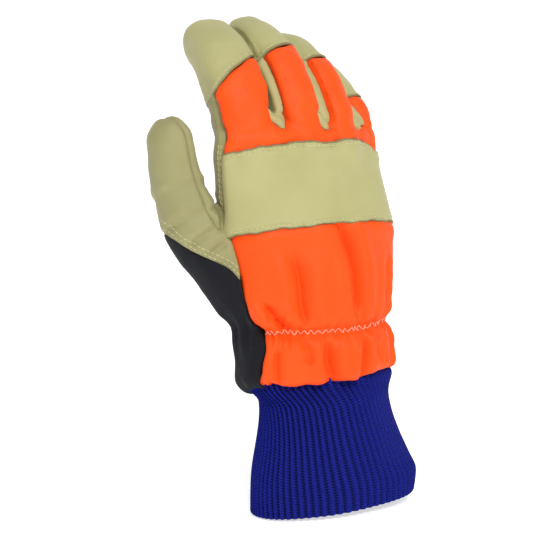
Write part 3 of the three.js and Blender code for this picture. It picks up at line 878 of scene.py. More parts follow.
def cut_along(points, triangles, columns, name):
    """Splits the triangles along the line where a field is zero."""
    field = columns[name]
    field = np.where(np.abs(field) < CUT_MARGIN, CUT_MARGIN, field)
    columns[name] = field
    above = field > 0
    count = above[triangles].sum(1)
    crossed = (count > 0) & (count < 3)
    kept = triangles[~crossed]
    made = {}
    new_ends = []
    parts = []

    def between(a, b):
        key = (a, b) if a < b else (b, a)
        if key not in made:
            made[key] = len(points) + len(new_ends)
            new_ends.append(key)
        return made[key]

    for triangle in triangles[crossed]:
        a, b, c = (int(v) for v in triangle)
        while not (above[a] != above[b] and above[a] != above[c]):
            a, b, c = b, c, a
        ab, ac = between(a, b), between(a, c)
        parts += [(a, ab, ac), (ab, b, c), (ab, c, ac)]
    if not new_ends:
        return points, triangles, columns
    ends = np.array(new_ends)
    low, high = field[ends[:, 0]], field[ends[:, 1]]
    share = np.clip(low / (low - high), CUT_MARGIN, 1 - CUT_MARGIN)
    points = np.vstack([points, mix(points[ends[:, 0]], points[ends[:, 1]], share[:, None])])
    fresh = {}
    for key, values in columns.items():
        start, stop = values[ends[:, 0]], values[ends[:, 1]]
        weight = share if values.ndim == 1 else share[:, None]
        fresh[key] = np.concatenate([values, mix(start, stop, weight)])
    fresh[name][len(field):] = 0
    return points, np.vstack([kept, np.array(parts)]), fresh


def waves(points, size, seed, count=14):
    """Soft irregular unevenness between about -1 and 1, of a given size in millimetres."""
    random = np.random.default_rng(seed)
    total = np.zeros(len(points))
    for _ in range(count):
        direction = random.normal(size=3)
        direction *= 2 * math.pi / size / np.linalg.norm(direction) * random.uniform(0.6, 1.4)
        total += np.sin(points @ direction + random.uniform(0, 2 * math.pi))
    return total / math.sqrt(count)


def joined_groups(triangles, labels, count):
    """The connected group that each triangle belongs to, among triangles of the same label."""
    owner = list(range(len(triangles)))

    def find(item):
        while owner[item] != item:
            owner[item] = owner[owner[item]]
            item = owner[item]
        return item

    seen = {}
    for index, (a, b, c) in enumerate(triangles.tolist()):
        for p, q in ((a, b), (b, c), (c, a)):
            key = p * count + q if p < q else q * count + p
            other = seen.pop(key, None)
            if other is None:
                seen[key] = index
            elif labels[other] == labels[index]:
                owner[find(other)] = find(index)
    return np.array([find(item) for item in range(len(triangles))])


def without_islands(triangles, labels, count, smallest=150):
    """Gives small stray groups of triangles the label of their largest neighbour."""
    groups = joined_groups(triangles, labels, count)
    names, sizes = np.unique(groups, return_counts=True)
    size_in = dict(zip(names.tolist(), sizes.tolist()))
    at_point = {}
    for index, triangle in enumerate(triangles.tolist()):
        if size_in[groups[index]] >= smallest:
            for point in triangle:
                at_point.setdefault(point, labels[index])
    changed = labels.copy()
    for index, triangle in enumerate(triangles.tolist()):
        if size_in[groups[index]] < smallest:
            near = [at_point[point] for point in triangle if point in at_point]
            if near:
                changed[index] = near[0]
    return changed


TIPS = [f"{name}_tip" for name in FINGERS]
WEBS = ["fourchette_index_middle", "fourchette_middle_ring", "fourchette_ring_little"]
PANELS = ["nothing", "back_panel", "heel_panel", "thumb_front", "thumb_back", "palm_panel"]
PANELS += TIPS + WEBS
PALM_PANELS = ("palm_panel", "thumb_front", "thumb_back")


def label_panels(triangles, columns):
    """The panel that each triangle belongs to, as a place in PANELS."""
    value = {name: field[triangles].mean(1) for name, field in columns.items()}
    owner = value["gaps"].argmin(1)
    finger = value["gaps"][:, 2:].argmin(1)
    turned = np.take_along_axis(value["turns"], finger[:, None] + 2, 1)[:, 0]
    web = PANELS.index(WEBS[0]) + np.clip(finger - (turned > 0), 0, 2)
    cap = PANELS.index(TIPS[0]) + finger
    by_thumb = value["thumb"] > 0
    labels = np.full(len(triangles), PANELS.index("palm_panel"))
    for chosen, panel in (
        ((value["side"] > 0) & (owner >= 2), web),
        (by_thumb, "thumb_back"),
        (by_thumb & (value["front"] > 0), "thumb_front"),
        (value["leather"] < 0, "heel_panel"),
        ((value["leaf"] > 0.3) & (value["back"] < 0), web),
        (value["back"] > 0, "back_panel"),
        ((value["tip"] > 0) & (owner >= 2), cap),
        (value["hem"] < 0, "nothing"),
    ):
        labels[chosen] = PANELS.index(panel) if isinstance(panel, str) else panel[chosen]
    return labels


def cut_panels(skin):
    """Cuts the skin along its panels' edges and labels its triangles."""
    columns = skin.fields()
    columns["leaf"] = skin.leaf
    columns["gaps"] = skin.gaps
    columns["turns"] = np.sin(np.radians(skin.angle))
    points, triangles = skin.points, skin.triangles
    for name in ("hem", "tip", "back", "leather", "thumb", "front", "side"):
        points, triangles, columns = cut_along(points, triangles, columns, name)
    labels = label_panels(triangles, columns)
    labels = without_islands(triangles, labels, len(points))
    skin.points, skin.triangles, skin.labels = points, triangles, labels
    skin.columns = columns
    skin.measure()
    skin.normals = normals_of(points, triangles)
    edges = edges_of(triangles)
    for _ in range(2):
        skin.normals = spread(skin.normals, edges, len(points))
    skin.normals = unit_rows(skin.normals)


class Piece:
    """The points and triangles of one panel, with its edge and its distances from the edge."""

    def __init__(self, skin, name):
        chosen = skin.triangles[skin.labels == PANELS.index(name)]
        if not len(chosen):
            raise RuntimeError(f"no part of the glove belongs to {name}")
        self.name = name
        used, local = np.unique(chosen, return_inverse=True)
        self.triangles = local.reshape(-1, 3)
        self.points = skin.points[used]
        self.normals = skin.normals[used]
        self.along = skin.along[used]
        self.angle = skin.angle[used]
        self.weights = skin.weights[used]
        self.fields = {
            key: values[used] for key, values in skin.columns.items() if values.ndim == 1
        }
        pairs = sides_of(self.triangles)
        keys = np.sort(pairs, 1)
        order = np.lexsort((keys[:, 1], keys[:, 0]))
        keys, pairs = keys[order], pairs[order]
        same = np.all(keys[1:] == keys[:-1], 1)
        single = ~(np.concatenate([same, [False]]) | np.concatenate([[False], same]))
        self.rim = pairs[single]
        tree = KDTree(len(self.rim))
        for index, point in enumerate(self.points[self.rim[:, 0]]):
            tree.insert(point, index)
        tree.balance()
        self.edge = np.array([tree.find(point)[2] for point in self.points])
        self.edges = edges_of(self.triangles)
        self.edge = spread(self.edge, self.edges, len(self.points))

    def outside(self, relief):
        return self.points + self.normals * relief[:, None]

    def built(self, relief, thickness):
        """Outer face, inner face and rim, as points and faces."""
        outer = self.outside(relief)
        inner = outer - self.normals * thickness
        count = len(outer)
        faces = [self.triangles, self.triangles[:, ::-1] + count]
        a, b = self.rim[:, 0], self.rim[:, 1]
        faces.append(np.stack([b, a, a + count], 1))
        faces.append(np.stack([b, a + count, b + count], 1))
        return np.vstack([outer, inner]), np.vstack(faces)


def fold_lines(angle, along, deepness):
    """Grooves of the padded back along its sewn channels and soft folds, in millimetres."""
    depth = np.zeros(len(angle))
    for values in FOLDS:
        fold = dict(zip(FOLD_COLUMNS, values))
        wide = fold["wide"]
        share = (along - fold["foot"]) / (fold["top"] - fold["foot"])
        bend = 3 * np.sin(share * 5 + fold["top_angle"])
        middle = mix(fold["foot_angle"], fold["top_angle"], share) + bend * 0.6
        gap = (angle - middle) * SHELL_ARC
        ends = smooth(share * 4) * smooth((1 - share) * 3)
        narrow = 0.7 * fade(np.abs(gap), wide * 0.4) + ridge(gap, high=0.45, wide=wide)
        shoulders = ridge(np.abs(gap) - wide * 2.2, high=0.28, wide=wide * 1.2)
        depth += deepness * fold["deep"] * (narrow - shoulders) * ends
    return depth


def gathers(angle, from_elastic, deepness):
    """Small wrinkles that run out from the elastic, in millimetres."""
    random = np.random.default_rng(7)
    depth = np.zeros(len(angle))
    place = BACK_EDGE
    while place < GATHERS_END:
        gather = {name: random.uniform(*limits) for name, limits in GATHER_LIMITS.items()}
        place += gather["pitch"]
        long = gather["reach"] * mix(0.6, 1, from_elastic > 0)
        gap = (angle - place) * SHELL_ARC - gather["lean"] * from_elastic
        depth += deepness * gather["deep"] * bell(gap, 1.2) * bell(from_elastic, long)
    return depth


def back_relief(piece, fold_depth, gather_depth):
    """How far the padded back's surface lies above or below its plain form."""
    angle, along = piece.angle[:, 0], piece.along[:, 0]
    height = HEM_HEIGHT + along * SHELL_HEIGHT
    hem = piece.fields["hem"]
    from_elastic = height - ELASTIC_HEIGHT
    above_foot, below_top = height - strap_foot(angle), strap_top(angle) - height
    under_strap = step(above_foot, 2) * step(below_top, 2)
    bulge = ridge(above_foot + 4.5, high=0.9, wide=3.6)
    bulge = bulge + ridge(below_top + 4.5, high=0.9, wide=3.6)
    elastic = ridge(from_elastic, high=3.1, wide=2.9)
    elastic = elastic - ridge(np.abs(from_elastic) - 8, high=0.7, wide=4)
    tucks = fold_lines(angle, along, fold_depth) + gathers(angle, from_elastic, gather_depth)
    knuckles = ramp(height - 188, 10) * ramp(232 - height, 12)
    tucks = tucks - 1.2 * knuckles * waves(piece.points * np.array([1, 1, 1.8]), size=24, seed=77)
    fingers = np.zeros(len(angle))
    for k in range(4):
        from_joint = (piece.along[:, k + 2] - JOINT_PLACES[0]) * FINGER_LENGTH
        soft = 0.35 * waves(piece.points, size=14, seed=31 + k)
        fingers += piece.weights[:, k + 2] * (soft - ridge(from_joint, high=0.5, wide=1.6))
    hand = bulge - elastic - tucks + 0.3 * waves(piece.points, size=30, seed=5)
    fine = 0.1 * waves(piece.points, size=9, seed=6)
    edge = 2.1 * fade(piece.edge, 1.6) + 0.6 * fade(piece.edge, 5)
    edge = edge * (1 - 0.5 * fade(np.abs(piece.fields["tip"]), 3))
    edge = edge * ramp(hem - 3, 5) + tucked(hem, 5, hem_tuck(angle))
    return mix(hand * piece.weights[:, 0] + fingers + fine - edge, -0.5, under_strap)


def leather_relief(piece, seed):
    """Leather dips at its seams and stands up a little at its raw cut edges."""
    nearest_raw = np.minimum(np.abs(piece.fields["tip"]), np.abs(piece.fields["leather"]))
    is_raw = smooth((3 - nearest_raw) / 2)
    dip = 2.1 * fade(piece.edge, 1.2) - ridge(piece.edge - 3, high=0.5, wide=1.6)
    stand = 0.35 + 0.1 * waves(piece.points, size=6, seed=seed + 1)
    soft = 0.4 * waves(piece.points, size=34, seed=seed)
    soft = soft + 0.16 * waves(piece.points, size=12, seed=seed + 2)
    relief = soft * ramp(piece.edge, 5) + mix(-dip, stand, is_raw)
    return relief - crotch_folds(piece) if piece.name in PALM_PANELS else relief


def crotch_folds(piece):
    """Curved folds round the foot of the thumb, in millimetres."""
    along = piece.along[:, 1] * THUMB_LENGTH
    bowed = along - 5 * np.cos(np.radians(piece.angle[:, 1] - 10))
    depth = np.zeros(len(along))
    for place, deep, wide in CROTCH_FOLDS:
        swell = ridge(bowed - place - 4.5, high=0.6 * deep, wide=2.6)
        depth += ridge(bowed - place, high=deep, wide=wide) - swell
    return depth * np.clip(piece.weights[:, 1] * 1.4, 0, 1) * ramp(piece.edge, 4)


def heel_relief(piece):
    """The dark cloth hangs in long soft folds below the thumb and gathers at the elastic."""
    angle, hem = piece.angle[:, 0], piece.fields["hem"]
    from_elastic = HEM_HEIGHT + piece.along[:, 0] * SHELL_HEIGHT - ELASTIC_HEIGHT
    slanted = waves(piece.points * np.array([1, 1, 0.45]), size=22, seed=21)
    sharp = 1 - np.abs(waves(piece.points * np.array([1, 1, 0.5]), size=26, seed=23))
    near_back = fade(np.abs(piece.fields["back"]), 6)
    pinch = (1.6 + 2.6 * near_back) * bell(from_elastic, 4 + 2 * (1 - near_back))
    tucks = 0.7 * np.cos(angle * math.pi / 180 * 17) * bell(from_elastic, 14)
    edge = 0.8 * fade(piece.edge, 1.2) * ramp(hem - 2, 4)
    edge = edge + mix(tucked(hem, 9, HEEL_TUCK), tucked(hem, 5, hem_tuck(angle)), near_back)
    swell = ridge(hem - 9, high=1.6, wide=7) * (1 - near_back)
    return 0.9 * slanted + 0.7 * sharp - pinch - tucks + swell - edge


def make_piece(name, points, faces, material, node=None, places=None, rim=None):
    """A finished piece in metres, with its material, attached to the root; the model's part of the
    given name is hidden.
    """
    mesh = mesh_from(name, np.asarray(points) * MM, faces)
    if places is not None:
        corners = np.empty(len(mesh.loops), dtype=np.int64)
        mesh.loops.foreach_get("vertex_index", corners)
        layer = mesh.uv_layers.new(name="weave")
        layer.uv.foreach_set("vector", np.asarray(places, float)[corners].ravel())
    mesh.materials.append(material)
    if rim:
        first, edge_material = rim
        mesh.materials.append(edge_material)
        looks = np.zeros(len(mesh.polygons), dtype=np.int32)
        looks[first:] = 1
        mesh.polygons.foreach_set("material_index", looks)
    thing = add_object(name + "_look", mesh)
    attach(thing, "root")
    if node:
        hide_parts(node)
    return thing


def colour(code):
    """Linear red, green, blue and alpha from a hex sRGB colour."""
    parts = [int(code[i:i + 2], 16) / 255 for i in (0, 2, 4)]
    return [p / 12.92 if p <= 0.04045 else ((p + 0.055) / 1.055) ** 2.4 for p in parts] + [1.0]


def fill(tree, target, values):
    """Links or fills a node's inputs by name or number."""
    for key, value in values.items():
        socket = target.inputs[key]
        if isinstance(value, bpy.types.NodeSocket):
            tree.links.new(value, socket)
        else:
            socket.default_value = value


def node(tree, kind, settings=None, **links):
    """Adds a shader node, sets its values, and links or fills its inputs."""
    made = tree.nodes.new(kind)
    for key, value in (settings or {}).items():
        setattr(made, key, value)
    fill(tree, made, links)
    return made


def new_material(name):
    """A new material, its nodes and its surface."""
    material = bpy.data.materials.new(name)
    material.use_nodes = True
    tree = material.node_tree
    return material, tree, tree.nodes["Principled BSDF"]


def coordinates(tree, kind="Object"):
    """The place on the object, or another of its coordinates."""
    return node(tree, "ShaderNodeTexCoord").outputs[kind]


def noise(tree, place, scale, detail=2.0, **settings):
    """Noise at a place, as a value."""
    made = node(tree, "ShaderNodeTexNoise", Vector=place, Scale=scale, Detail=detail, **settings)
    return made.outputs["Fac"]


def bump(tree, height, strength, distance):
    """A normal from the height of a fine relief."""
    made = node(tree, "ShaderNodeBump", Strength=strength, Distance=distance, Height=height)
    return made.outputs[0]


def tint(tree, share, deep, light):
    """A colour between two others."""
    made = node(tree, "ShaderNodeMix", {"data_type": "RGBA"})
    fill(tree, made, {0: share, 6: tuple(deep), 7: tuple(light)})
    return made.outputs[2]


def calculated(tree, operation, *values):
    """The result of a sum, product or other operation."""
    made = node(tree, "ShaderNodeMath", {"operation": operation})
    fill(tree, made, dict(enumerate(values)))
    return made.outputs[0]


def leather_material(name, deep, light):
    """Chrome-tanned grain leather: dull, slightly mottled, with a fine pebbled grain."""
    material, tree, body = new_material(name)
    spot = coordinates(tree)
    mottle = noise(tree, spot, 45.0, detail=4.0, Roughness=0.55)
    grain = node(tree, "ShaderNodeTexVoronoi", {"feature": "SMOOTH_F1"}, Vector=spot, Scale=1100.0)
    fill(tree, body, {
        "Base Color": tint(tree, mottle, deep, light), "Roughness": 0.62, "IOR": 1.45,
        "Normal": bump(tree, grain.outputs["Distance"], 0.22, 0.00025),
        "Sheen Weight": 0.12, "Sheen Roughness": 0.5,
    })
    return material


def raw_edge_and_painted_shade_material(name, colours):
    """The cut edge and flesh side of the leather, and a narrow band of the grain side along the
    cut edges: darker, dull and fibrous; the band is partly the cut edge and partly painted shade
    along it.
    """
    material, tree, body = new_material(name)
    spot = coordinates(tree)
    fill(tree, body, {
        "Base Color": tuple(colours.raw_leather), "Roughness": 0.95, "IOR": 1.4,
        "Normal": bump(tree, noise(tree, spot, 1800.0), 0.5, 0.0003),
    })
    return material


def padded_material(name, colours):
    """High-visibility satin polyester over wadding: bright, smooth and softly shining."""
    material, tree, body = new_material(name)
    spot = coordinates(tree)
    cloudy = noise(tree, spot, 35.0)
    weave = noise(tree, spot, 1500.0, detail=1.0)
    fill(tree, body, {
        "Base Color": tint(tree, cloudy, colours.padded_deep, colours.padded_light),
        "Roughness": 0.58, "IOR": 1.5, "Normal": bump(tree, weave, 0.1, 0.0002),
        "Specular IOR Level": 0.22,
    })
    return material


def cloth_material(name, colours):
    """Dark cotton twill: matt, with fine slanting ribs."""
    material, tree, body = new_material(name)
    spot = coordinates(tree)
    twill = node(tree, "ShaderNodeTexWave", {"bands_direction": "DIAGONAL"}, Vector=spot,
                 Scale=420.0, Distortion=1.5, Detail=1.0)
    fill(tree, body, {
        "Base Color": tuple(colours.cloth), "Roughness": 0.85, "IOR": 1.45,
        "Normal": bump(tree, twill.outputs["Fac"], 0.3, 0.0002),
        "Specular IOR Level": 0.3, "Sheen Weight": 0.03, "Sheen Roughness": 0.5,
    })
    return material


def knit_material(name, colours, pitch):
    """Stretch rib knit: matt yarn, with small slanting stitches up every rib; its colour is
    painted lighter as highlight on the coarser ribs' crests and darker as shade in their valleys
    and between the stitches.
    """
    material, tree, body = new_material(name)
    place = coordinates(tree, "UV")
    across, up = node(tree, "ShaderNodeSeparateXYZ", Vector=place).outputs[:2]
    inside = calculated(tree, "FRACT", across)
    from_crest = calculated(tree, "ABSOLUTE", calculated(tree, "SUBTRACT", inside, 0.5))
    rib = calculated(tree, "FLOOR", across)
    row = calculated(tree, "MULTIPLY_ADD", rib, RIB_SHIFT * pitch, up)
    rise = calculated(tree, "MULTIPLY_ADD", from_crest, STITCH_RISE, row)
    loop = calculated(tree, "SINE", calculated(tree, "MULTIPLY", rise, 2 * math.pi / pitch))
    height = calculated(tree, "MULTIPLY_ADD", loop, 0.5, noise(tree, place, 6.0))
    # Painted shade in the ribs' valleys and painted highlight on their crests, on the coarser ribs
    # only; elsewhere a middle tone
    crest = node(tree, "ShaderNodeMapRange", Value=from_crest, **{
        "From Min": 0.02, "From Max": 0.32, "To Min": -0.4, "To Max": 0.12,
    })
    coarse = node(tree, "ShaderNodeMapRange", Value=across, **{"From Min": 24, "From Max": 33})
    rib_painted_shade = calculated(tree, "MULTIPLY_ADD", crest.outputs[0], coarse.outputs[0], 0.5)
    # The stitches' ripple darkens the colour between them as painted shade
    stitch_and_rib_painted_shade = calculated(tree, "MULTIPLY_ADD", loop, 0.3, rib_painted_shade)
    fill(tree, body, {
        "Base Color": tint(tree, stitch_and_rib_painted_shade, colours.knit_painted_shade, colours.knit_painted_highlight),
        "Roughness": 0.9, "IOR": 1.45, "Normal": bump(tree, height, 0.85, 0.0005),
        "Specular IOR Level": 0.2,
    })
    return material


def thread_material(name, tone):
    """Spun polyester sewing thread."""
    material, tree, body = new_material(name)
    fill(tree, body, {"Base Color": tuple(tone), "Roughness": 0.7, "IOR": 1.45})
    return material


def cuff_points(rib_height, rows=110):
    """The knitted cuff: ribs outside, a folded lower edge, and a plain inner face."""
    tube = Tube(cuff_section, CUFF_LENGTH, 3)
    around = RIBS * RIB_STEPS
    angle = np.arange(around) / around * 360 - 180
    a, g = np.meshgrid(np.linspace(CUFF_FOLD, 1, rows), angle, indexing="ij")
    rib = np.cos(np.radians(g) * RIBS)
    height = a * CUFF_LENGTH
    g = g + RIB_SLANT * height
    fine = smooth((-g - 5) / 40) * smooth((a - 0.1) * 4)
    deep = rib_height * mix(1.1, 0.3, fine)
    out = KNIT_WALL + deep * rib * (1 - 0.3 * rib)
    flat = tube.points(a, g, out)
    out = out + 0.5 * waves(flat.reshape(-1, 3), size=38, seed=51).reshape(a.shape)
    out = out + ridge(height - 16, high=0.8, wide=5) * bell(wrap(g + 60), 40)
    out = out + ridge(height - 72, high=3.0, wide=5) * bell(wrap(g + 75), 35)
    grids = [tube.points(a, g, out)[::-1]]
    turned = angle + RIB_SLANT * CUFF_FOLD * CUFF_LENGTH
    for turn in np.linspace(0, math.pi, 7)[1:]:
        wide = mix(out[0], CUFF_LINING, (1 - math.cos(turn)) / 2)
        low = np.full(around, CUFF_FOLD - CUFF_FOLD * math.sin(turn))
        grids.append(tube.points(low, turned, wide)[None])
    a, g = np.meshgrid(np.linspace(CUFF_FOLD, 1, 30)[1:], angle, indexing="ij")
    g = g + RIB_SLANT * a * CUFF_LENGTH
    grids.append(tube.points(a, g, np.full(a.shape, CUFF_LINING)))
    grid = np.vstack(grids)
    ring = np.arange(around)
    after = (ring + 1) % around
    last = (len(grid) - 1) * around
    top = np.stack([last + ring, ring, after, last + after], 1)
    run = np.linalg.norm(np.diff(grid, axis=0), axis=2).mean(1)
    climb = np.concatenate([[0], np.cumsum(run)])
    u, v = np.meshgrid(np.arange(around) / RIB_STEPS, climb)
    places = np.stack([u.ravel(), v.ravel()], 1)
    return grid.reshape(-1, 3), np.vstack([ring_quads(len(grid), around), top]), places


def strap_seat(under, tube, along, angle):
    """How high the padded back carries the strap, found from outside and then calmed."""
    far, missed, lowest, highest = 16.0, 11.4, 2.5, 9.0
    top, inward = from_outside(tube, along.ravel(), angle.ravel(), far)
    reach = np.empty(len(top))
    for index, (start, toward) in enumerate(zip(top, inward)):
        hit = under.ray_cast(Vector(start), Vector(toward))
        reach[index] = hit[3] if hit[0] is not None else missed
    seat = np.clip(far - reach.reshape(angle.shape), lowest, highest)
    for _ in range(60):
        calm = np.pad(seat, 1, mode="edge")
        mean = (calm[:-2, 1:-1] + calm[2:, 1:-1] + calm[1:-1, :-2] + calm[1:-1, 2:]) / 4
        seat = np.maximum(mean, seat * 0.5 + mean * 0.5)
    return seat


def strap_points(skin, under, across=300, rows=90):
    """The strap over the knuckles: a leather band with cut edges, sewn along both of them."""
    tube = skin.shell
    gu, gv = np.meshgrid(np.linspace(0, 1, across), np.linspace(0, 1, rows), indexing="ij")
    angle = mix(STRAP_FAR_EDGE, STRAP_EDGE, gu)
    height = mix(strap_foot(angle), strap_top(angle), gv)
    height += uneven(angle) * gv ** 4 + uneven(angle + 70) * (1 - gv) ** 4
    along = shell_share(height)
    flat = tube.points(along, angle, 6.0).reshape(-1, 3)
    from_edge = np.minimum(gv, 1 - gv) * STRAP_HEIGHT
    from_end = np.minimum(gu, 1 - gu) * (STRAP_EDGE - STRAP_FAR_EDGE) * SHELL_ARC
    seam = ridge(from_edge - STRAP_SEAM, high=0.55, wide=1.0)
    seam = seam - ridge(from_edge - 4.6, high=0.25, wide=1.6)
    wave = waves(flat, size=30, seed=61).reshape(angle.shape)
    ripple = waves(flat, size=9, seed=62).reshape(angle.shape) * fade(from_edge, 3)
    seat = strap_seat(under, tube, along, angle)
    out = seat + STRAP_STAND - seam + 0.25 * wave + 0.2 * ripple - 0.9 * fade(from_edge, 0.5)
    out = out - 1.6 * fade(from_end, 2.2)
    crease = ridge(angle + 12 + (1 - gv) * 12, high=1.3, wide=3.2)
    crease = crease - ridge(angle + 1, high=0.5, wide=7)
    out = out - crease * np.exp(-(1 - gv) * 4.5)
    outer = tube.points(along, angle, out)
    inner = tube.points(along, angle, np.minimum(out - 1.6, seat + 0.1))
    count = across * rows
    index = np.arange(count).reshape(across, rows)
    a, b = index[:-1, :-1].ravel(), index[1:, :-1].ravel()
    c, d = index[1:, 1:].ravel(), index[:-1, 1:].ravel()
    cells = np.stack([a, d, c, b], 1)
    # The outermost rows of the strap's face take the cut edge's darker colour: partly the cut
    # edge, partly painted shade along it
    cut_edge = (a % rows < 2) | (a % rows > rows - 4)
    grain = cells[~cut_edge]
    back = np.stack([a, b, c, d], 1) + count
    border = np.concatenate([index[:, 0], index[-1, 1:], index[-2::-1, -1], index[0, -2:0:-1]])
    after = np.roll(border, -1)
    sides = np.stack([border, after, after + count, border + count], 1)
    points = np.vstack([outer.reshape(-1, 3), inner.reshape(-1, 3)])
    return points, np.vstack([grain, cells[cut_edge], back, sides]), len(grain)


def contour(points, normals, triangles, field, value, least=8):
    """The lines on a surface where a field has a value, as lists of places with their normals."""
    above = field > value
    crossed = triangles[(above[triangles].sum(1) % 3) > 0]
    ends = {}
    for triangle in crossed.tolist():
        cuts = []
        for a, b in ((0, 1), (1, 2), (2, 0)):
            p, q = triangle[a], triangle[b]
            if above[p] != above[q]:
                cuts.append((min(p, q), max(p, q)))
        ends.setdefault(cuts[0], []).append(cuts[1])
        ends.setdefault(cuts[1], []).append(cuts[0])
    lines = []
    left = set(ends)
    starts = [key for key in ends if len(ends[key]) == 1] + list(ends)
    for start in starts:
        if start not in left:
            continue
        line = [start]
        left.discard(start)
        while True:
            onward = [key for key in ends[line[-1]] if key in left]
            if not onward:
                break
            line.append(onward[0])
            left.discard(onward[0])
        if len(line) < least:
            continue
        pairs = np.array(line)
        low, high = field[pairs[:, 0]], field[pairs[:, 1]]
        share = ((value - low) / (high - low))[:, None]
        lines.append((
            mix(points[pairs[:, 0]], points[pairs[:, 1]], share),
            mix(normals[pairs[:, 0]], normals[pairs[:, 1]], share),
        ))
    return lines


def evenly(places, normals, pitch):
    """The same line with places at an even pitch along it."""
    steps = np.linalg.norm(np.diff(places, axis=0), axis=1)
    run = np.concatenate([[0], np.cumsum(steps)])
    count = max(int(run[-1] / pitch), 1)
    at = np.linspace(0, run[-1], count + 1)
    fresh = np.stack([np.interp(at, run, places[:, k]) for k in range(3)], 1)
    return fresh, unit_rows(np.stack([np.interp(at, run, normals[:, k]) for k in range(3)], 1))


def calmed(places, times=6):
    """The same line with its small kinks evened out."""
    for _ in range(times):
        places = np.vstack([
            places[:1], (places[:-2] + places[1:-1] * 2 + places[2:]) / 4, places[-1:]
        ])
    return places


class Thread:
    """Gathers stitches and runs of thread as one mesh."""

    SIDES = 6
    # Along a stitch: its five places, how they lie above the seam, and their share of its width
    SHARES = np.array([0.12, 0.2, 0.5, 0.8, 0.88])
    LIFTS = np.array([-0.35, 0.0, 0.12, 0.0, -0.35])
    WIDTHS = np.array([0.7, 0.95, 1.05, 0.95, 0.7])

    def __init__(self, sizes):
        self.points = []
        self.faces = []
        self.count = 0
        self.pitch = sizes.stitch_pitch / MM
        self.length = sizes.stitch_length / MM
        self.radius = sizes.thread_width / MM / 2

    def run(self, places, normals, radii):
        """A round thread through places, closed at its ends."""
        forward = unit_rows(np.gradient(places, axis=0))
        side = unit_rows(np.cross(forward, normals))
        up = np.cross(side, forward)
        turn = np.arange(self.SIDES) / self.SIDES * 2 * math.pi
        ring = (
            side[:, None] * np.cos(turn)[None, :, None] + up[:, None] * np.sin(turn)[None, :, None]
        )
        grid = places[:, None] + ring * np.asarray(radii)[:, None, None]
        rows = len(places)
        around = self.count + np.arange(self.SIDES)
        self.faces += (self.count + ring_quads(rows, self.SIDES)[:, [0, 3, 2, 1]]).tolist()
        self.faces.append(around[::-1].tolist())
        self.faces.append((around + (rows - 1) * self.SIDES).tolist())
        self.points.append(grid.reshape(-1, 3))
        self.count += rows * self.SIDES

    def stitches(self, places, normals, lift=0.13):
        """A row of separate stitches along a line."""
        pitch = self.pitch
        places, normals = evenly(calmed(places), normals, pitch)
        random = np.random.default_rng(len(places))
        for index in range(len(places) - 1):
            along = places[index + 1] - places[index]
            size = np.linalg.norm(along)
            if size > pitch * 1.6 or size < pitch * 0.5:
                continue
            up = normals[index]
            jitter = random.normal(size=2) * 0.06
            side = np.cross(along / size, up)
            share = self.length / size
            span = self.SHARES[-1] - self.SHARES[0]
            spots = places[index] + along * (0.5 + (self.SHARES[:, None] - 0.5) * share / span)
            spots = spots + up * (lift + self.LIFTS)[:, None] + side * jitter[0]
            self.run(spots, np.repeat(up[None], len(spots), 0), self.radius * self.WIDTHS)

    def finished(self, name, material):
        return make_piece(name, np.vstack(self.points), self.faces, material)


def on_surface(tree, places, toward, lift):
    """Moves places onto a surface along given directions, with the surface's normals."""
    fresh, normals = [], []
    for place, direction in zip(places, toward):
        hit = tree.ray_cast(Vector(place), Vector(direction))
        if hit[0] is None:
            fresh.append(place)
            normals.append(-direction)
        else:
            normal = np.array(hit[1])
            fresh.append(np.array(hit[0]) + normal * lift)
            normals.append(normal)
    return np.array(fresh), np.array(normals)


def from_outside(tube, along, angle, far=18.0):
    """Places outside a tube, and the directions from them to its middle."""
    start = tube.points(along, angle, far)
    return start, unit_rows(tube.points(along, angle, 0.0) - start)


def zigzag(skin, under, thread, pitch, width):
    """The elastic's zigzag stitching across the padded back."""
    turns = int((ZIGZAG_END - ZIGZAG_START) * SHELL_ARC / pitch)
    random = np.random.default_rng(3)
    count = turns * 2 + 1
    side = np.where(np.arange(count) % 2, 1, -1) * (width / 2 + 0.2 * random.normal(size=count))
    angle = np.linspace(ZIGZAG_START, ZIGZAG_END, count) + 0.25 * random.normal(size=count)
    height = ELASTIC_HEIGHT + side + 0.5 * np.sin(np.linspace(0, 9, count))
    steps = 5
    at = np.linspace(0, count - 1, (count - 1) * steps + 1)
    along = shell_share(np.interp(at, np.arange(count), height))
    angle = np.interp(at, np.arange(count), angle)
    start, toward = from_outside(skin.shell, along, angle)
    places, normals = on_surface(under, start, toward, 0.3)
    places = calmed(places, 1)
    thread.run(places, normals, np.full(len(places), ZIGZAG_THREAD / 2))


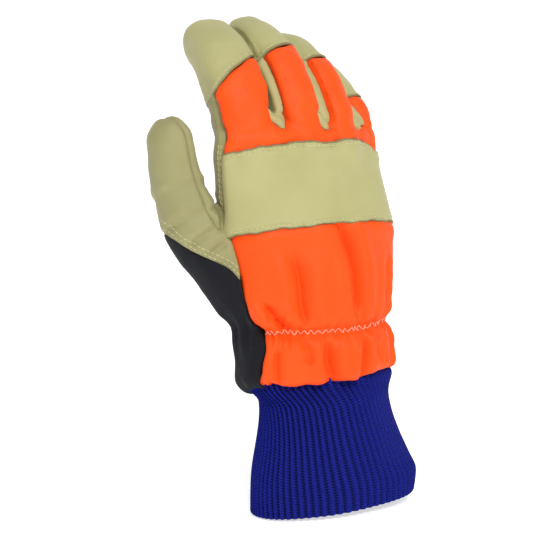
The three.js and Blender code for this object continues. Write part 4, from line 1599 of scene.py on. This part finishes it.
def lay_floor(settings):
    """A pale paper floor that curves up into a backdrop."""
    floor_height = CAD_BOUNDS[0][2] - FLOOR_GAP
    profile = [(-FLOOR_WIDTH, 0.0), (FLOOR_DEPTH - FLOOR_BEND, 0.0)]
    for turn in np.linspace(0, math.pi / 2, 13)[1:].tolist():
        flat = FLOOR_DEPTH - FLOOR_BEND + math.sin(turn) * FLOOR_BEND
        profile.append((flat, FLOOR_BEND - math.cos(turn) * FLOOR_BEND))
    profile.append((FLOOR_DEPTH, BACKDROP_HEIGHT))
    across = np.array([math.cos(settings.azimuth), math.sin(settings.azimuth)])
    ahead = np.array([-math.sin(settings.azimuth), math.cos(settings.azimuth)])
    points = [
        (*(across * side + ahead * reach), floor_height + rise)
        for reach, rise in profile for side in (-FLOOR_WIDTH, FLOOR_WIDTH)
    ]
    faces = [(2 * i, 2 * i + 1, 2 * i + 3, 2 * i + 2) for i in range(len(profile) - 1)]
    mesh = mesh_from("floor", points, faces)
    material, tree, body = new_material("pale_painted_paper")
    fill(tree, body, {
        "Base Color": tuple(settings.floor), "Roughness": 0.9,
        "Emission Color": colour("ffffff"), "Emission Strength": settings.floor_glow,
    })
    mesh.materials.append(material)
    add_object("floor", mesh)


def seen_from(azimuth, elevation):
    """The direction from the glove towards a lamp or the camera; angles in radians."""
    return Vector((
        math.sin(azimuth) * math.cos(elevation), -math.cos(azimuth) * math.cos(elevation),
        math.sin(elevation),
    ))


def aimed(name, data, direction, distance, target):
    """A lamp or camera that looks at the target from a direction."""
    thing = add_object(name, data)
    thing.location = target + direction * distance
    thing.rotation_euler = direction.to_track_quat("Z", "Y").to_euler()
    return thing


def set_stage(settings):
    """Soft lamps, an even pale surrounding and the camera."""
    scene = bpy.context.scene
    scene.view_settings.view_transform = "Standard"
    world = bpy.data.worlds.new("studio")
    world.use_nodes = True
    surrounding = world.node_tree.nodes["Background"]
    surrounding.inputs["Color"].default_value = (1, 1, 1, 1)
    surrounding.inputs["Strength"].default_value = settings.surrounding
    scene.world = world
    target = Vector(settings.target)
    powers = {"key": settings.key, "fill": settings.fill, "top": settings.top}
    for values in LAMPS:
        lamp = dict(zip(LAMP_COLUMNS, values))
        light = bpy.data.lights.new(lamp["name"], "AREA")
        light.shape = "DISK"
        light.size = lamp["size"]
        light.energy = powers[lamp["name"]]
        direction = seen_from(math.radians(lamp["azimuth"]), math.radians(lamp["elevation"]))
        aimed(lamp["name"], light, direction, lamp["distance"], target)
    camera_data = bpy.data.cameras.new("camera")
    camera_data.sensor_width = 36
    camera_data.angle = settings.field
    camera_data.clip_end = 20
    direction = seen_from(settings.azimuth, settings.elevation)
    scene.camera = aimed("camera", camera_data, direction, settings.distance, target)


def sew_leather(piece, relief, thread):
    """Rows of stitches beside the leather's cut edges and along its seam with the padded back."""
    outside = piece.outside(relief)

    def beside(field, distance):
        return contour(outside, piece.normals, piece.triangles, piece.fields[field], distance)

    lines = []
    if piece.name in TIPS:
        lines += beside("tip", CAP_ROW)
    if piece.name in PALM_PANELS:
        for inside in LEATHER_ROWS:
            lines += beside("leather", inside)
    if piece.name == "palm_panel":
        lowest, highest = SEAM_STRETCH
        for inside in BACK_ROWS:
            for places, normals in beside("back", inside):
                x, z = places[:, 0], places[:, 2]
                chosen = (z > lowest) & (z < highest) & (x < 0)
                if chosen.sum() > 8:
                    lines.append((places[chosen], normals[chosen]))
    for places, normals in lines:
        thread.stitches(places, normals)


def sew_strap(skin, tree, thread):
    """A row of stitches along each of the strap's edges."""
    angle = np.linspace(STRAP_FAR_EDGE + 2, STRAP_EDGE - 2, 120)
    for height in (strap_foot(angle) + STRAP_SEAM, strap_top(angle) - STRAP_SEAM):
        start, toward = from_outside(skin.shell, shell_share(height), angle)
        thread.stitches(*on_surface(tree, start, toward, 0))


@functools.lru_cache(maxsize=1)
def glove_skin(fineness):
    """The glove's whole skin, cut along its panels; made once and shared by them."""
    skin = Skin(fineness)
    cut_panels(skin)
    return skin


@functools.lru_cache(maxsize=1)
def padded_back(skin, thickness, fold_depth, gather_depth):
    """The padded back's points and faces, and its surface for what is sewn on it."""
    piece = Piece(skin, "back_panel")
    points, faces = piece.built(back_relief(piece, fold_depth, gather_depth), thickness)
    return points, faces, BVHTree.FromPolygons(points.tolist(), faces.tolist())


def kept(name, maker, *values):
    """A material that several pieces share, made when it is first asked for."""
    return bpy.data.materials.get(name) or maker(name, *values)


def pale_leather(colours):
    """The leather of the strap, the finger caps and the strips between the fingers, in its own
    colour.
    """
    shades = colours.leather_deep, colours.leather_light
    return kept("chrome_tanned_grain_leather", leather_material, *shades)


def palm_leather_painted_shade(colours):
    """The same leather for the palm and the thumb, its colours painted darker as shade."""
    shades = colours.palm_painted_shade_deep, colours.palm_painted_shade_light
    return kept("chrome_tanned_palm_leather", leather_material, *shades)


def raw_edge_and_shade_leather(colours):
    """The material of the leather's cut edges, also laid on a narrow band of the face beside them,
    partly as painted shade.
    """
    return kept("raw_leather_edge", raw_edge_and_painted_shade_material, colours)


def leather_thread(colours):
    """The thread in the leather's seams."""
    return kept("pale_sewing_thread", thread_material, colours.leather_thread)


def sizes_of(context):
    """The chosen sizes and colours, and the skin in the chosen fineness."""
    sizes = context.scene.glove_sizes
    return sizes, context.scene.glove_colours, glove_skin(round(sizes.fineness / MM, 4))


def back_of(sizes, skin):
    """The padded back in the chosen sizes."""
    thickness = round(sizes.padded_thickness / MM, 4)
    return padded_back(skin, thickness, round(sizes.fold_depth, 4), round(sizes.gather_depth, 4))


def make_leather(context, names, hide, stitches_name=None):
    """Leather panels whose cut edges, and a narrow band of the face beside them, are darker,
    partly as painted shade, and the rows of stitches beside those edges.
    """
    sizes, colours, skin = sizes_of(context)
    leather, raw = hide(colours), raw_edge_and_shade_leather(colours)
    thread = Thread(sizes)
    for name in names:
        piece = Piece(skin, name)
        relief = leather_relief(piece, 93 + 7 * PANELS.index(name))
        cut_edge = piece.fields["tip" if name in TIPS else "leather"][piece.triangles].mean(1)
        # Faces within half a millimetre of a cut edge take the cut edge's darker colour: partly
        # the cut edge, partly painted shade along it
        is_raw = np.abs(cut_edge) < 0.5
        piece.triangles = np.vstack([piece.triangles[~is_raw], piece.triangles[is_raw]])
        points, faces = piece.built(relief, sizes.leather_thickness / MM)
        rim = (int((~is_raw).sum()), raw)
        make_piece(name, points, faces, leather, name, rim=rim)
        if stitches_name:
            sew_leather(piece, relief, thread)
    if stitches_name:
        thread.finished(stitches_name, leather_thread(colours))


def shade(name, description, code):
    """A colour setting."""
    return bpy.props.FloatVectorProperty(
        name=name, description=description, subtype="COLOR", size=4, min=0, max=1,
        default=colour(code),
    )


def size_of(name, description, millimetres):
    """A length setting, given in millimetres."""
    return bpy.props.FloatProperty(
        name=name, description=description, unit="LENGTH", precision=5, min=0,
        default=millimetres * MM,
    )


def turn_of(name, description, degrees):
    """An angle setting, given in degrees."""
    return bpy.props.FloatProperty(
        name=name, description=description, subtype="ANGLE", default=math.radians(degrees),
    )


def amount(name, description, value):
    """A plain number setting."""
    return bpy.props.FloatProperty(name=name, description=description, min=0, default=value)


class GloveColours(bpy.types.PropertyGroup):
    """The colours of the glove's materials"""

    leather_light: shade("Leather", "Light patches of the grain leather", "b6b27c")
    leather_deep: shade("Leather shade", "Darker patches of the grain leather", "a5a068")
    # The palm's and thumb's leather: the same leather, its colours painted darker as shade
    palm_painted_shade_light: shade("Palm leather", "Light patches of the palm's leather", "a09b6c")
    palm_painted_shade_deep: shade("Palm leather shade", "Darker patches of the palm's leather", "8f8a5a")
    # The cut edges' colour, also painted along the edges' face as shade
    raw_leather: shade("Cut edges", "Cut edges and flesh side of the leather", "87815a")
    padded_light: shade("Padded back", "Light tone of the padded back's fabric", "fd5711")
    padded_deep: shade("Padded back shade", "Deeper tone of the padded back's fabric", "fb4d0d")
    cloth: shade("Cloth", "Dark cloth below the palm and thumb", "12131a")
    # The knit is one yarn, painted lighter as highlight on the ribs' tops and darker as shade in
    # their valleys
    knit_painted_highlight: shade("Knit", "Tops of the cuff's ribs", "1826a4")
    knit_painted_shade: shade("Knit shade", "Valleys between the cuff's ribs", "060a3c")
    leather_thread: shade("Leather thread", "Thread in the leather's seams", "c8c393")
    elastic_thread: shade("Elastic thread", "Zigzag thread on the elastic", "ffbd9c")


class GloveSizes(bpy.types.PropertyGroup):
    """The thicknesses, stitches and folds of the glove"""

    fineness: size_of("Fineness", "Size of the skin's triangles", 0.95)
    leather_thickness: size_of("Leather thickness", "Thickness of the leather", 1.5)
    padded_thickness: size_of("Padded thickness", "Thickness of the padded fabric's edge", 2.8)
    cloth_thickness: size_of("Cloth thickness", "Thickness of the dark cloth's edge", 2.2)
    stitch_pitch: size_of("Stitch pitch", "From one stitch to the next", 3.0)
    stitch_length: size_of("Stitch length", "Length of one visible stitch", 2.2)
    thread_width: size_of("Thread width", "Thickness of the sewing thread", 0.5)
    zigzag_pitch: size_of("Zigzag pitch", "From one zigzag point to the next", 2.9)
    zigzag_width: size_of("Zigzag width", "Height of the zigzag stitching", 3.1)
    rib_height: size_of("Rib height", "How far the cuff's ribs stand out", RIB_HEIGHT)
    knit_pitch: size_of("Knit pitch", "From one knitted row to the next", 1.6)
    fold_depth: amount("Fold depth", "Depth of the padded back's folds against the table", 1.6)
    gather_depth: amount("Gather depth", "Depth of the wrinkles at the elastic", 2.3)


class GloveStage(bpy.types.PropertyGroup):
    """The floor, the lamps and the camera"""

    azimuth: turn_of("Azimuth", "The camera's place round the glove", -22)
    elevation: turn_of("Elevation", "The camera's height as an angle", 10)
    field: turn_of("Field of view", "The camera's field of view", 19.25)
    distance: bpy.props.FloatProperty(
        name="Distance", description="From the camera to its aim", unit="LENGTH", default=0.9,
    )
    target: bpy.props.FloatVectorProperty(
        name="Aim", description="The point that the camera looks at", subtype="TRANSLATION",
        default=(-0.0293, 0.0225, 0.1325),
    )
    floor: shade("Floor", "Colour of the floor and backdrop", "f4f4f4")
    floor_glow: amount("Floor glow", "Light given by the paper itself", 0.62)
    surrounding: amount("Surrounding", "Strength of the even light from all round", 0.22)
    key: amount("Key lamp", "Power of the main lamp in watts", 17)
    fill: amount("Fill lamp", "Power of the side lamp in watts", 1)
    top: amount("Top lamp", "Power of the lamp above in watts", 4)


class GLOVE_OT_back(bpy.types.Operator):
    """Make the padded back with its folds, and the zigzag stitching over its elastic"""

    bl_idname = "glove.make_back"
    bl_label = "Padded back"

    def execute(self, context):
        sizes, colours, skin = sizes_of(context)
        points, faces, surface = back_of(sizes, skin)
        satin = padded_material("high_visibility_satin_polyester", colours)
        back = make_piece("back_panel", points, faces, satin, "back_panel")
        thread = Thread(sizes)
        zigzag(skin, surface, thread, sizes.zigzag_pitch / MM, sizes.zigzag_width / MM)
        peach = thread_material("peach_sewing_thread", colours.elastic_thread)
        thread.finished("elastic_stitches", peach)
        return {"FINISHED"}


class GLOVE_OT_palm(bpy.types.Operator):
    """Make the leather palm and the two panels of the thumb, with their stitches"""

    bl_idname = "glove.make_palm"
    bl_label = "Palm and thumb"

    def execute(self, context):
        make_leather(context, PALM_PANELS, palm_leather_painted_shade, "leather_stitches")
        return {"FINISHED"}


class GLOVE_OT_caps(bpy.types.Operator):
    """Make the four leather finger caps with their stitches"""

    bl_idname = "glove.make_caps"
    bl_label = "Finger caps"

    def execute(self, context):
        make_leather(context, TIPS, pale_leather, "cap_stitches")
        return {"FINISHED"}


class GLOVE_OT_webs(bpy.types.Operator):
    """Make the leather strips between the fingers"""

    bl_idname = "glove.make_webs"
    bl_label = "Strips between the fingers"

    def execute(self, context):
        make_leather(context, WEBS, pale_leather)
        return {"FINISHED"}


class GLOVE_OT_heel(bpy.types.Operator):
    """Make the dark cloth panel below the palm and the thumb"""

    bl_idname = "glove.make_heel"
    bl_label = "Cloth heel"

    def execute(self, context):
        sizes, colours, skin = sizes_of(context)
        piece = Piece(skin, "heel_panel")
        points, faces = piece.built(heel_relief(piece), sizes.cloth_thickness / MM)
        twill = cloth_material("dark_cotton_twill", colours)
        heel = make_piece("heel_panel", points, faces, twill, "heel_panel")
        return {"FINISHED"}


class GLOVE_OT_strap(bpy.types.Operator):
    """Make the wide leather strap across the knuckles, with its two rows of stitches"""

    bl_idname = "glove.make_strap"
    bl_label = "Knuckle strap"

    def execute(self, context):
        sizes, colours, skin = sizes_of(context)
        points, faces, grain_faces = strap_points(skin, back_of(sizes, skin)[2])
        make_piece(
            "knuckle_strap", points, faces, pale_leather(colours), "knuckle_strap",
            rim=(grain_faces, raw_edge_and_shade_leather(colours)),
        )
        thread = Thread(sizes)
        sew_strap(skin, BVHTree.FromPolygons(points.tolist(), faces.tolist()), thread)
        thread.finished("strap_stitches", leather_thread(colours))
        return {"FINISHED"}


class GLOVE_OT_cuff(bpy.types.Operator):
    """Make the ribbed knitted cuff"""

    bl_idname = "glove.make_cuff"
    bl_label = "Knitted cuff"

    def execute(self, context):
        sizes, colours = context.scene.glove_sizes, context.scene.glove_colours
        points, faces, places = cuff_points(sizes.rib_height / MM)
        knit = knit_material("stretch_rib_knit", colours, sizes.knit_pitch / MM)
        make_piece("knit_cuff", points, faces, knit, "knit_cuff", places)
        return {"FINISHED"}


class GLOVE_OT_stage(bpy.types.Operator):
    """Lay the floor and set up the lamps and the camera"""

    bl_idname = "glove.make_stage"
    bl_label = "Stage"

    def execute(self, context):
        lay_floor(context.scene.glove_stage)
        set_stage(context.scene.glove_stage)
        return {"FINISHED"}


OPERATORS = (
    GLOVE_OT_back, GLOVE_OT_palm, GLOVE_OT_caps, GLOVE_OT_webs, GLOVE_OT_heel, GLOVE_OT_strap,
    GLOVE_OT_cuff, GLOVE_OT_stage,
)
SETTINGS = {
    "glove_sizes": GloveSizes, "glove_colours": GloveColours, "glove_stage": GloveStage,
}


class VIEW3D_PT_glove(bpy.types.Panel):
    """The glove's pieces and settings in the 3D view's sidebar"""

    bl_idname = "VIEW3D_PT_glove"
    bl_label = "Chainsaw Glove"
    bl_space_type = "VIEW_3D"
    bl_region_type = "UI"
    bl_category = "Glove"

    def draw(self, context):
        layout = self.layout
        for operator in OPERATORS:
            layout.operator(operator.bl_idname)
        for name, kind in SETTINGS.items():
            box = layout.box()
            for setting in kind.__annotations__:
                box.prop(getattr(context.scene, name), setting)


def register():
    """Adds the classes and the settings to Blender."""
    for kind in (*SETTINGS.values(), *OPERATORS, VIEW3D_PT_glove):
        bpy.utils.register_class(kind)
    for name, kind in SETTINGS.items():
        setattr(bpy.types.Scene, name, bpy.props.PointerProperty(type=kind))


def unregister():
    """Takes the settings and the classes out again."""
    for name in SETTINGS:
        delattr(bpy.types.Scene, name)
    for kind in (VIEW3D_PT_glove, *reversed(OPERATORS), *SETTINGS.values()):
        bpy.utils.unregister_class(kind)


def main():
    """Makes every piece and the stage."""
    register()
    for operator in OPERATORS:
        group, action = operator.bl_idname.split(".")
        getattr(getattr(bpy.ops, group), action)()


if __name__ == "__main__":
    main()
